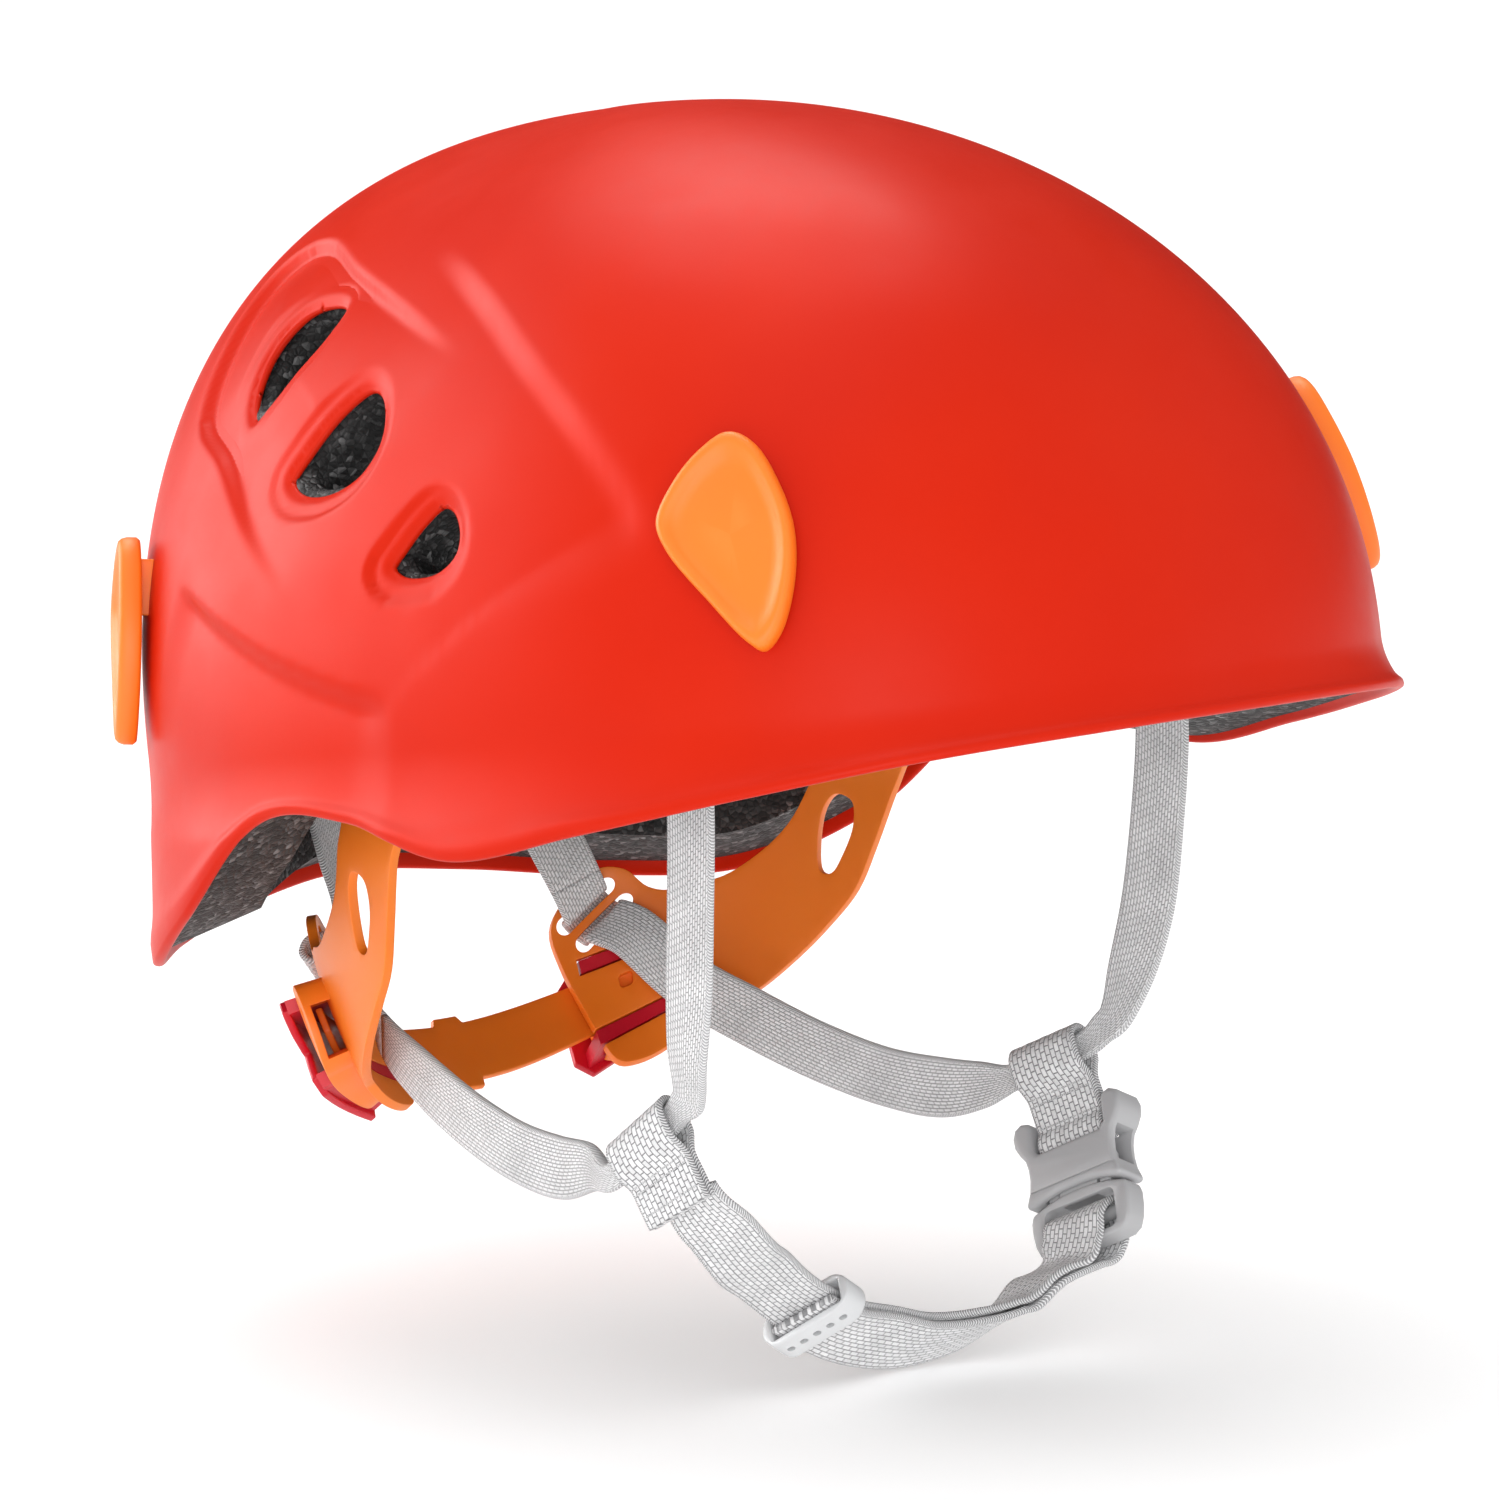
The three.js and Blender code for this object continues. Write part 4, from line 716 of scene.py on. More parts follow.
def box_shape(sx, sy, sz, x=0.0, y=0.0, z=0.0, edge=0.5):
    """A box with bevelled edges, as points and faces."""
    bm = bmesh.new()
    bmesh.ops.create_cube(bm, size=1)
    bmesh.ops.scale(bm, vec=(sx, sy, sz), verts=bm.verts)
    bmesh.ops.bevel(bm, geom=bm.edges, offset=min(edge, sx / 3, sy / 3, sz / 3), segments=3,
                    profile=0.7, affect="EDGES")
    bmesh.ops.translate(bm, vec=(x, y, z), verts=bm.verts)
    return taken(bm)


# ---- The cradle ------------------------------------------------------
HEAD_CENTRE, HEAD_POWER, HEAD_HALF_LENGTH, HEAD_HALF_WIDTH = 5.0, 2.25, 97.0, 72.6
OCCIPUT_TOP, OCCIPUT_CURVE, SIDE_TOP, SIDE_TAPER = -40.0, 0.0125, -26.0, 0.163
GIRTH, BAND_Z, BAND_RISE, BAND_RISE_END = 1.45, -78.4, 0.0095, 38.0


def band_height(degrees):
    return BAND_Z + BAND_RISE * min(abs(degrees), BAND_RISE_END) ** 2


def head_plan(z):
    return (HEAD_HALF_LENGTH - OCCIPUT_CURVE * min(z - OCCIPUT_TOP, 0) ** 2,
            HEAD_HALF_WIDTH + SIDE_TAPER * min(z - SIDE_TOP, 0))


def head_field(p):
    long, wide = head_plan(p[2])
    return ((abs(p[0] - HEAD_CENTRE) / long) ** HEAD_POWER
            + (abs(p[1]) / wide) ** HEAD_POWER) ** (1 / HEAD_POWER)


def on_head(u, v, d):
    degrees = u / GIRTH
    angle = math.radians(degrees)
    z = v + band_height(degrees)
    long, wide = head_plan(z)
    radius = ((abs(math.cos(angle)) / long) ** HEAD_POWER
              + (abs(math.sin(angle)) / wide) ** HEAD_POWER) ** (-1 / HEAD_POWER)
    p = np.array([HEAD_CENTRE - radius * math.cos(angle), radius * math.sin(angle), z])
    h = 0.05
    slope = unit([head_field(p + step) - head_field(p - step) for step in np.eye(3) * h])
    return p + slope * d


WING_OUTLINE = [(29.6, 1), (31.6, -5.5), (34.4, -11.6), (40, -13.8), (50.2, -14.2), (60, -11.4),
                (69.2, -6.4), (78.4, 0.8), (85.8, 7.8), (92.5, 15.5), (96.8, 25), (101.5, 37.2), (107.5, 50),
                (111.4, 60), (109.6, 69), (102, 74), (94, 69.6), (90, 59), (84.4, 46.4), (80.5, 36.7),
                (75.7, 27.9), (67.9, 20.3), (60, 15.6), (51.6, 14.9), (46.8, 17.4), (42.4, 22.8), (37.4, 24.6),
                (31, 20.6), (27.2, 15.4), (27.8, 8)]
ARM_HOLE = [(83.8, 31.6), (86.4, 34.6), (90.6, 33.4), (91.2, 28.6), (89, 22.6), (86.2, 18.4), (83.4, 18.6),
            (82.6, 24)]
SLOT_CENTRES = [(34.5, 17.9), (37.7, 13.5)]
SLOT_ANGLE = math.radians(31)
LOCK_START, LOCK_END = 31.5, 50.0
HOUSING_START, HOUSING_OUT = 33.5, 6.7
HOUSING_OUTLINE = [(HOUSING_START, -7.2), (HOUSING_START + 4, -9.6), (45, -9.6), (57, -7.7), (61, 0),
                   (57, 7.7), (45, 9.6), (HOUSING_START + 4, 9.6), (HOUSING_START, 7.2)]
LEG_AT = 6.7
GRID, OFF_CORNER = 2.6, 0.013


def prism(name, loop, low, high):
    """A solid from an outline in (u, v), between two depths, as a Blender object."""
    bm = bmesh.new()
    bottom = [bm.verts.new((p[0], p[1], low)) for p in loop]
    base = bm.faces.new(bottom)
    risen = bmesh.ops.extrude_face_region(bm, geom=[base])
    tops = [v for v in risen["geom"] if isinstance(v, bmesh.types.BMVert)]
    bmesh.ops.translate(bm, vec=(0, 0, high - low), verts=tops)
    bmesh.ops.recalc_face_normals(bm, faces=bm.faces)
    mesh = bpy.data.meshes.new(name)
    bm.to_mesh(mesh)
    bm.free()
    made = bpy.data.objects.new(name, mesh)
    SCENE.collection.objects.link(made)
    return made


def rectangle(u0, u1, v0, v1):
    return [(u0, v0), (u1, v0), (u1, v1), (u0, v1)]


def stadium(centre, length, width, angle=0.0, radius=None, steps=8):
    radius = width / 2 if radius is None else radius
    run = length / 2 - radius
    rise = width / 2 - radius
    points = []
    for cx, cy, start in ((run, rise, 0), (-run, rise, 90), (-run, -rise, 180), (run, -rise, 270)):
        for k in range(steps + 1):
            a = math.radians(start + 90 * k / steps)
            points.append((cx + radius * math.cos(a), cy + radius * math.sin(a)))
    points = [p for k, p in enumerate(points) if k == 0 or math.dist(p, points[k - 1]) > 1e-4]
    if math.dist(points[0], points[-1]) < 1e-4:
        points.pop()
    c, s = math.cos(angle), math.sin(angle)
    return [(centre[0] + x * c - y * s, centre[1] + x * s + y * c) for x, y in points]


def apply_modifiers(made):
    depsgraph = bpy.context.evaluated_depsgraph_get()
    mesh = bpy.data.meshes.new_from_object(made.evaluated_get(depsgraph))
    made.modifiers.clear()
    made.data = mesh
    return made


def boolean(made, tool, operation):
    change = made.modifiers.new("change", "BOOLEAN")
    change.operation = operation
    change.solver = "EXACT"
    change.object = tool
    apply_modifiers(made)
    bpy.data.objects.remove(tool)
    return made


def bevel(made, width, segments=2, degrees=45):
    edge = made.modifiers.new("edge", "BEVEL")
    edge.width = width
    edge.segments = segments
    edge.limit_method = "ANGLE"
    edge.angle_limit = math.radians(degrees)
    edge.use_clamp_overlap = True
    return apply_modifiers(made)


def gridded(made, pitch=GRID):
    """The object's points and faces, cut along a square grid in (u, v); the object goes."""
    bm = bmesh.new()
    bm.from_mesh(made.data)
    bmesh.ops.remove_doubles(bm, verts=bm.verts, dist=1e-4)
    corners = np.array([v.co for v in bm.verts])
    for axis in (0, 1):
        low, high = corners[:, axis].min(), corners[:, axis].max()
        for at in np.arange(math.ceil(low / pitch) * pitch, high, pitch):
            normal, spot = [0, 0, 0], [0, 0, 0]
            normal[axis] = 1
            spot[axis] = at + OFF_CORNER
            bmesh.ops.bisect_plane(bm, geom=bm.verts[:] + bm.edges[:] + bm.faces[:], plane_co=spot,
                                   plane_no=normal, dist=1e-4)
    bmesh.ops.recalc_face_normals(bm, faces=bm.faces)
    bm.verts.index_update()
    bpy.data.objects.remove(made)
    return taken(bm)


def bend_to_head(verts, faces):
    """Carries (u, v, d) on to the head form. That frame is left-handed, so the faces turn over."""
    return np.array([on_head(*p) for p in verts]), [f[::-1] for f in faces]


PIVOT = (-19.0, -2.0)


def pivot_eye():
    long, wide = head_plan(PIVOT[1])
    y = wide * (1 - (abs(PIVOT[0] - HEAD_CENTRE) / long) ** HEAD_POWER) ** (1 / HEAD_POWER)
    degrees = math.degrees(math.atan2(y, HEAD_CENTRE - PIVOT[0]))
    return degrees * GIRTH, PIVOT[1] - band_height(degrees)


def wing_pieces():
    plate = prism("wing_plate", curve_loop(WING_OUTLINE, 150), -1, 1)
    housing = prism("housing", curve_loop(HOUSING_OUTLINE, 64), 0.2, HOUSING_OUT)
    boolean(plate, housing, "UNION")
    cuts = [(rectangle(5, 85, -5.1, 5.1), 1, 5.2), (curve_loop(ARM_HOLE, 40), -3, 3)]
    cuts += [(stadium(centre, 13.6, 3.6, SLOT_ANGLE), -3, 3) for centre in SLOT_CENTRES]
    cuts += [(rectangle(LOCK_START - 0.4, LOCK_END + 0.4, v - 1.6, v + 1.6), -3, 12)
             for v in (-LEG_AT, LEG_AT)]
    cuts += [(stadium((54.75, 0), 4.5, 9.2, 0, 1.2), 6, 9),
             (stadium(pivot_eye(), 15, 6.2, math.radians(38)), -3, 3),
             (stadium((40.6, 1.2), 3.0, 2.6, 0, 0.8), -3, 0.9)]
    for loop, low, high in cuts:
        boolean(plate, prism("cut", loop, low, high), "DIFFERENCE")
    bevel(plate, 0.45, 3)
    verts, faces = bend_to_head(*gridded(plate))
    both_sides("wing", verts, faces, "orange_plastic", "wing_{side}", ["cradle_wing_{side}"],
               sharp=38)


def lock_pieces():
    start, end = LOCK_START, LOCK_END
    cap = [(start - 2.6, -6.2), (start + 1, -9.2), (end - 2, -8.4), (end, -6), (end - 6, 0),
           (end, 6), (end - 2, 8.4), (start + 1, 9.2), (start - 2.6, 6.2)]
    button = prism("button", cap, 8.6, 10.2)
    bevel(button, 0.35, 3, 20)
    for v in (-LEG_AT, LEG_AT):
        boolean(button, prism("leg", rectangle(start, end, v - 1.2, v + 1.2), -1, 9), "UNION")
    verts, faces = bend_to_head(*gridded(button))
    both_sides("lock", verts, faces, "red_plastic", "lock_{side}", ["lock_button_{side}"], sharp=38)


def band_piece():
    """The nape band, with the small lugs on its edges."""
    end, half = 50.0, 4.75
    loop = [(-end, -half), (-7, -half), (-6, -half - 1.4), (-1, -half - 1.4), (0, -half),
            (end, -half), (end + 1.5, 0), (end, half), (3, half), (2, half + 1.3), (-4, half + 1.3),
            (-5, half), (-end, half), (-end - 1.5, 0)]
    band = prism("band", loop, 2.4, 3.8)
    bevel(band, 0.3, 3, 20)
    verts, faces = bend_to_head(*gridded(band))
    piece("band_nape", verts, faces, "orange_plastic", "cradle", ["nape_band"], sharp=38)


# ---- Webbing ---------------------------------------------------------
SECTION = 12


def section_points(width, thick, camber):
    """Cross-section of a tape: rounded edges, faint ribs along it, and some camber."""
    top = []
    for k in range(SECTION + 1):
        a = k / SECTION - 0.5
        top.append((a * (width - thick * 0.6), thick / 2 * (1 + 0.06 * math.cos(a * 26))))
    side, level = width / 2 - thick * 0.06, thick * 0.28
    edge = [(side, level), (width / 2, 0), (side, -level)]
    loop = top + edge + [(x, -y) for x, y in reversed(top)] + [(-x, -y) for x, y in edge]
    return [(x, y + camber * (1 - (2 * x / width) ** 2)) for x, y in loop]


def ribbon(stations, first, last, per_span=8, camber=None):
    """Tape through stations (place, across, width, thick) from station number first to last."""
    places = np.array([s[0] for s in stations], float)
    acrosses = np.array([s[1] for s in stations], float)
    sizes = np.array([[s[2], s[3]] for s in stations], float)
    full = sizes[:, 0].max()
    spans = len(stations) - 1
    steps = max(2, int(round((last - first) * per_span)))
    early = [spline(places, k / per_span / spans) for k in range(int(first * per_span) + 1)]
    length = sum(np.linalg.norm(b - a) for a, b in zip(early, early[1:]))
    rows, uvs = [], []
    before = None
    for i in range(steps + 1):
        t = (first + (last - first) * i / steps) / spans
        p = spline(places, t)
        along = unit(spline(places, min(t + 1e-4, 1)) - spline(places, max(t - 1e-4, 0)))
        across = spline(acrosses, t, power=0)
        across = unit(across - along * (across @ along))
        out = np.cross(along, across)
        width, thick = spline(sizes, t, power=0)
        if before is not None:
            length += np.linalg.norm(p - before)
        before = p
        loop = section_points(width, thick, camber(t * spans) if camber else 0.0)
        rows.append([p + across * x + out * y for x, y in loop])
        uvs.append([(x * full / width, length) for x, y in loop])
    count = len(rows[0])
    faces = strips(steps + 1, count)
    faces += [list(range(count))[::-1], [steps * count + k for k in range(count)]]
    return np.array(rows).reshape(-1, 3), faces, np.array(uvs).reshape(-1, 2)


def yoke_point(s, w, across=YOKE_ACROSS):
    return YOKE_TOP + YOKE_DOWN * s + across * w


def buckle_point(s, w, n):
    """From the swung buckle's frame (s down, w across, n outward) to the row's frame."""
    return (YOKE_TOP + YOKE_DOWN * BUCKLE_BAR + BUCKLE_DOWN * (s - BUCKLE_BAR) + YOKE_ACROSS * w
            + BUCKLE_OUT * n)


ANCHOR_THICK, ANCHOR_PROUD = 5.6, 4.8
STRAP_LEVEL, BUNCH_WIDTH, BUNCH_THICK = 5.1, 5.6, 2.6


def anchor_point(theta, height, up):
    axes, origin = dome_frame(theta, height, LINER_INNER)
    return np.array([0, up, ANCHOR_THICK / 2 - ANCHOR_PROUD]) @ axes + origin


def anchor_aim(theta, height):
    return -dome_frame(theta, height, LINER_INNER)[0][0]


def v_stations(yoke_across, entry):
    front, rear = (51, 26), (164, 6)
    front_aim, rear_aim = anchor_aim(*front), anchor_aim(*rear)
    upper, lower = (np.array(c, float) for c in SLOT_CENTRES)
    reach = 4 * np.array([math.cos(SLOT_ANGLE), math.sin(SLOT_ANGLE)])
    into_yoke = yoke_point(STRAP_LEVEL - 0.6, 10, yoke_across)
    slot_aim = unit(on_head(*(upper + reach), 0) - on_head(*(upper - reach), 0))
    width, thick, narrow = STRAP_WIDTH, STRAP_THICK, 11.8
    stations = [
        (anchor_point(*front, 1.2), -front_aim, width, thick),
        (anchor_point(*front, -9), -front_aim, width, thick),
        ((52.6, 66.6, 8), (-1, -0.06, 0), width, thick),
        ((54, 66.4, -8), (-1, -0.08, 0), width, thick),
        ((53.4, 65.8, -26), (-1, -0.1, 0), width, thick),
        ((52, 64.8, -43), (-0.98, -0.1, 0.1), width, thick),
        ((49.6, 62.9, -56), (-0.95, -0.1, 0.3), 10.8, 1.7),
        (entry, (-0.84, 0.05, 0.5), BUNCH_WIDTH + 2.2, 2.1),
        (np.array(entry) * 0.5 + into_yoke * 0.5, (-0.72, 0.04, 0.68), BUNCH_WIDTH + 0.8, 2.4),
        (into_yoke, (-0.55, 0.02, 0.83), BUNCH_WIDTH, BUNCH_THICK),
        (yoke_point(STRAP_LEVEL, 4, yoke_across), -YOKE_DOWN, BUNCH_WIDTH, BUNCH_THICK),
        (yoke_point(STRAP_LEVEL, -4, yoke_across), -YOKE_DOWN, BUNCH_WIDTH, BUNCH_THICK),
        (yoke_point(STRAP_LEVEL, -10.5, yoke_across), (-0.3, 0, 0.95), BUNCH_WIDTH, BUNCH_THICK),
        ((17.4, 55.6, -82.4), (-0.2, 0, 0.98), 9.4, 2),
        ((7, 53.9, -84.2), (-0.1, 0, 1), width, thick),
        ((-6, 51.9, -83.6), (0.05, 0, 1), width, thick),
        ((-22, 49.2, -80.2), (0.15, 0.05, 1), width, thick),
        ((-39, 46, -74.6), (0.25, 0.15, 0.95), width, thick),
        ((-54, 42.6, -68.4), (0.3, 0.35, 0.88), narrow, thick),
        (on_head(lower[0] + 5, lower[1] - 4.4, -5.6), slot_aim, narrow, thick),
    ]
    across = upper - lower
    for t, depth in ((-0.05, -2.9), (-0.05, -0.4), (-0.02, 1.7), (0.5, 3.1), (1.02, 1.7), (1.05, -0.4),
                     (1.05, -2.9)):
        stations.append((on_head(*(lower + across * t), depth), slot_aim, narrow, thick))
    slot_out, rear_in = on_head(upper[0] - 2, upper[1] + 5.5, -5.4), anchor_point(*rear, -13.5)
    stations += [
        (slot_out, slot_aim * 0.8 + rear_aim * 0.2, narrow, thick),
        (slot_out * 0.65 + rear_in * 0.35, slot_aim * 0.4 + rear_aim * 0.6, width, thick),
        (slot_out * 0.3 + rear_in * 0.7, rear_aim, width, thick),
        (rear_in, rear_aim, width, thick),
        (anchor_point(*rear, -4.5), rear_aim, width, thick),
        (anchor_point(*rear, 1.2), rear_aim, width, thick),
    ]
    return stations

AT_YOKE = 10.5
# Name, first and last station, the two bodies, and the stations held still and carried along.
V_SPANS = [("main", 0, 18, "helmet", "cradle", 14, 18), ("slot_in", 18, 23, "cradle", "wing", 18, 20),
           ("slot_out", 23, 27, "wing", "cradle", 25, 27), ("rear", 27, 32, "cradle", "helmet", 27, 31)]


def v_straps():
    """Each V strap in four pieces."""

    def camber(at):
        near_yoke = max(0.0, 1 - abs(at - AT_YOKE) / 4)
        return 0.7 * near_yoke * abs(math.sin((at - AT_YOKE) * 0.9))
    for side, across, entry in (("left", YOKE_ACROSS, (46.8, 61.2, -65.5)),
                                ("right", RIGHT_YOKE_ACROSS, (46, 58.8, -64.6))):
        stations = v_stations(across, entry)
        for name, first, last, a, b, still, carried in V_SPANS:
            verts, faces, uv = ribbon(stations, first, last, 8, camber if name == "main" else None)
            shape = (verts, faces) if side == "left" else mirror(verts, faces)
            made = piece(f"v_{name}_{side}", *shape, "webbing", None,
                         [f"v_strap_{side}"] if name == "main" else [], uv=uv)
            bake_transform(made)


CHIN_ROUTE = [
    ((41.8, -55.2, -83.2), (0.71, -0.2, 0.68)), ((43.1, -51.9, -87.8), (0.71, -0.19, 0.68)),
    ((42.8, -45.9, -93.3), (0.71, -0.18, 0.68)), ((41.5, -38.9, -99.3), (0.71, -0.18, 0.68)),
    ((40, -31.5, -105.2), (0.72, -0.15, 0.66)), ((39.6, -21.5, -112), (0.7, -0.14, 0.69)),
    ((39.4, -11.4, -117.4), (0.64, -0.15, 0.75)), ((39.6, -0.6, -121), (0.56, -0.2, 0.8)),
    ((40.4, 10.5, -123.4), (0.66, -0.28, 0.7)), ((44, 22.2, -122.4), (0.8, -0.22, 0.56)),
    ((46.9, 30.4, -119.4), (0.9, -0.06, 0.44)), ((48.8, 36, -115.6), (0.92, 0.08, 0.4)),
]
TAIL_GAP, PLUG_BAR, PLUG_BAR_RADIUS = 2.1, 40.0, 1.4
TAIL_START = 5  # where the tail ends on the route


def chin_out(i):
    before = np.array(CHIN_ROUTE[max(i - 1, 0)][0], float)
    after = np.array(CHIN_ROUTE[min(i + 1, len(CHIN_ROUTE) - 1)][0], float)
    return unit(np.cross(unit(after - before), unit(CHIN_ROUTE[i][1])))


def chin_stations():
    """Along the lower layer, round the plug's bar, and back along the tail."""
    def layer(i, shift):
        at, across = CHIN_ROUTE[i]
        return np.array(at, float) + chin_out(i) * shift, across, CHIN_WIDTH, STRAP_THICK
    last, bar = len(CHIN_ROUTE), PLUG_BAR
    stations = [layer(i, 0 if i < TAIL_START - 1 else -TAIL_GAP / 2) for i in range(last)]
    r = PLUG_BAR_RADIUS + 0.35 + STRAP_THICK / 2
    for s, w, n in ((bar + 8.2, -3.4, -4.6), (bar + 4.4, -1.8, -3.9), (bar, -0.5, -r - 1.1),
                    (bar - r - 0.2, 0, 0), (bar, -0.5, r + 1.1), (bar + 4, -1.8, 4.1),
                    (bar + 7.6, -3.4, 2.6)):
        stations.append((buckle_point(s, w, n), YOKE_ACROSS, CHIN_WIDTH, STRAP_THICK))
    return stations + [layer(i, TAIL_GAP / 2) for i in range(last - 1, TAIL_START - 1, -1)]


def chin_strap():
    stations = chin_stations()
    verts, faces, uv = ribbon(stations, 0, len(stations) - 1, 7)
    made = piece("chin_tape", verts, faces, "webbing", None, ["chin_strap"], uv=uv, look=WIDE_TAPE)
    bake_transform(made)


# ---- Yokes, buckle, keeper -------------------------------------------
def in_yoke(verts, across=YOKE_ACROSS):
    """From (w, -s, n) to the row's frame."""
    return (YOKE_TOP + verts[:, :1] * across - verts[:, 1:2] * YOKE_DOWN
            + verts[:, 2:] * unit(np.cross(across, YOKE_DOWN)))


def in_buckle(verts):
    """The same, for the swung buckle."""
    return (YOKE_TOP + YOKE_DOWN * BUCKLE_BAR + verts[:, :1] * YOKE_ACROSS
            - (verts[:, 1:2] + BUCKLE_BAR) * BUCKLE_DOWN + verts[:, 2:] * BUCKLE_OUT)


def askew(verts):
    """The right yoke's (w, -s, n) after the chin strap has pulled its lower end forward."""
    low = np.clip(-verts[:, 1] / 21, 0, 1)
    return np.column_stack([verts[:, 0] + 0.6 + 2.3 * low,
                            verts[:, 1] - 0.16 * low * verts[:, 0], verts[:, 2]])


def on_yoke(side, verts, faces):
    """Carries the left yoke's (w, -s, n) to its place on either side."""
    if side == "left":
        return in_yoke(verts), faces
    return mirror(in_yoke(askew(verts), RIGHT_YOKE_ACROSS), faces)


def yoke_loop(end):
    """The yoke tape's centre line in (s, n), from the flat part's end round the tube and back."""
    half = 3.15
    points = [(end - 1, 0.8), (16, 0.85), (11.2, 0.9), (9.4, 1.9), (7.4, half)]
    points += [(3.8 - half * math.sin(math.radians(a)), half * math.cos(math.radians(a)))
               for a in range(0, 181, 20)]
    return points + [(7.4, -half), (9.4, -1.9), (11.2, -0.9), (16, -0.85), (end - 1, -0.8)]


def yokes():
    """Folded tape: the left one loops round the socket's bar, the right one is sewn on the strap."""
    bar, radius = BUCKLE_BAR, 2.55
    ring = [(bar - 2.9, -0.9), (bar - 1.8, -1.9), (bar, -radius), (bar + 1.8, -1.8),
            (bar + radius, 0), (bar + 1.8, 1.8), (bar, radius), (bar - 1.8, 1.9), (bar - 2.9, 0.9)]
    paths = {"left": yoke_loop(bar)[1:-1] + ring, "right": yoke_loop(21.0)}
    for side, path in paths.items():
        stations = [((0.0, -s, n), (1, 0, 0), YOKE_WIDTH, YOKE_THICK) for s, n in path]
        verts, faces, uv = ribbon(stations, 0, len(stations) - 1, 5)
        placed, faces = on_yoke(side, verts, faces)
        piece(f"yoke_tape_{side}", placed, faces, "webbing", "helmet", [f"yoke_{side}"], uv=uv,
              look=YOKE_TAPE)
        stitches(side)


def stitches(side):
    """Rows of thread across the flat part of a yoke, front and back."""
    pitch, count = 1.32, 11
    boxes = [box_shape(1.0, 0.34, 0.3, (k - (count - 1) / 2) * pitch, -row, n, 0.12)
             for row in (11.2, 12.6, 17.4) for k in range(count) for n in (1.55, -1.55)]
    placed, faces = on_yoke(side, *merged(boxes))
    piece(f"yoke_stitch_{side}", placed, faces, "webbing", "helmet", sharp=60, look=THREAD)


def solid(name, loop, half, cuts, edge, lip=0.25):
    """A moulded piece in (w, -s, n), half thick each way: rounded, cut, and the cuts softened."""
    whole = prism(name, loop, -half, half)
    bevel(whole, edge, 5, 50)
    for tool in cuts:
        boolean(whole, tool, "DIFFERENCE")
    bevel(whole, lip, 2, 50)
    bm = bmesh.new()
    bm.from_mesh(whole.data)
    bmesh.ops.recalc_face_normals(bm, faces=bm.faces)
    bpy.data.objects.remove(whole)
    return taken(bm)


def rod(length, radius, s, count=20):
    """A round bar across the buckle, s down from the yoke's top."""
    angles = [2 * math.pi * k / count for k in range(count)]
    verts = np.array([(x, -s + radius * math.cos(a), radius * math.sin(a))
                      for x in (-length / 2, length / 2) for a in angles])
    faces = strips(2, count)
    faces += [list(range(count))[::-1], list(range(count, 2 * count))]
    return verts, faces


def merged(shapes):
    verts, faces, base = [], [], 0
    for v, f in shapes:
        faces += [[i + base for i in face] for face in f]
        verts.append(v)
        base += len(v)
    return np.concatenate(verts), faces


def both_ways(half):
    """A closed outline from its right half, listed from the top down."""
    return half + [(-x, y) for x, y in reversed(half)]

SOCKET_HALF = [(8.9, -17.2), (9.6, -16.1), (11.2, -15.7), (12.8, -16.5), (13.5, -18.3), (13.3, -20.4),
               (12.3, -22.3), (11.1, -24), (10.6, -26), (10.5, -28.4), (10.9, -31), (11.7, -33),
               (12.1, -34.2), (10.6, -34.4), (7.4, -33.5), (3.8, -32.9), (1.2, -32.8)]
SOCKET_SHOULDER = [(-8.9, -22.2), (-7.8, -23.4), (7.8, -23.4), (8.9, -22.2)]
PLUG_HALF = [(1.2, -33.3), (3.8, -33.4), (7.4, -34), (10.4, -34.9), (11.7, -35.3), (12.2, -37),
             (12.2, -39.6), (11.8, -42.2), (10.9, -44.3), (9.2, -45.3), (6, -45.4)]
PRONG_OUTLINE = [(5, -33.9), (7.9, -33.9), (7.8, -31.6), (8.05, -29.4), (8, -27.4), (7.2, -26),
                 (6, -25.8), (5.2, -27), (5, -29.4)]


def buckle_pieces():
    cavity = prism("cavity", rectangle(-8.2, 8.2, -36, -24.8), -2.6, 2.6)
    window = prism("window", stadium((0, -26.9), 40, 7.4, 0, 2.6), -2.6, 2.6)
    grooves = [prism("groove", rectangle(-14, 14, -31.6, -31.2), low, low + 1.0)
               for low in (3.85, -4.85)]
    body = solid("socket", both_ways(SOCKET_HALF) + SOCKET_SHOULDER, 4.2,
                 [cavity, window] + grooves, 1.1)
    verts, faces = merged([body, rod(20.4, 1.5, BUCKLE_BAR)])
    piece("buckle_female", in_buckle(verts), faces, "buckle_plastic", "helmet",
          ["buckle_socket"], sharp=40)
    hole = prism("hole", stadium((0, -39.9), 17.4, 8.2, 0, 1.6), -5, 5)
    body = solid("plug", both_ways(PLUG_HALF), 2.8, [hole], 0.8)
    tongue = box_shape(4.6, 8, 3.4, 0, -30.8, 0, 0.7)
    neck = box_shape(9.4, 4.4, 4.6, 0, -33.6, 0, 0.3)
    verts, faces = merged([body, tongue, neck, rod(20.0, PLUG_BAR_RADIUS, PLUG_BAR)])
    piece("buckle_male", in_buckle(verts), faces, "buckle_plastic", "plug",
          ["buckle_plug"], sharp=40)
    for name, way in (("front", 1), ("rear", -1)):
        verts, faces = solid("hook", [(way * x, y) for x, y in PRONG_OUTLINE], 2.05, [], 0.7)
        piece(f"prong_{name}", in_buckle(verts), faces, "buckle_plastic", f"prong_{name}",
              [f"buckle_prong_{name}"], sharp=40)


KEEPER_AT = 5.35


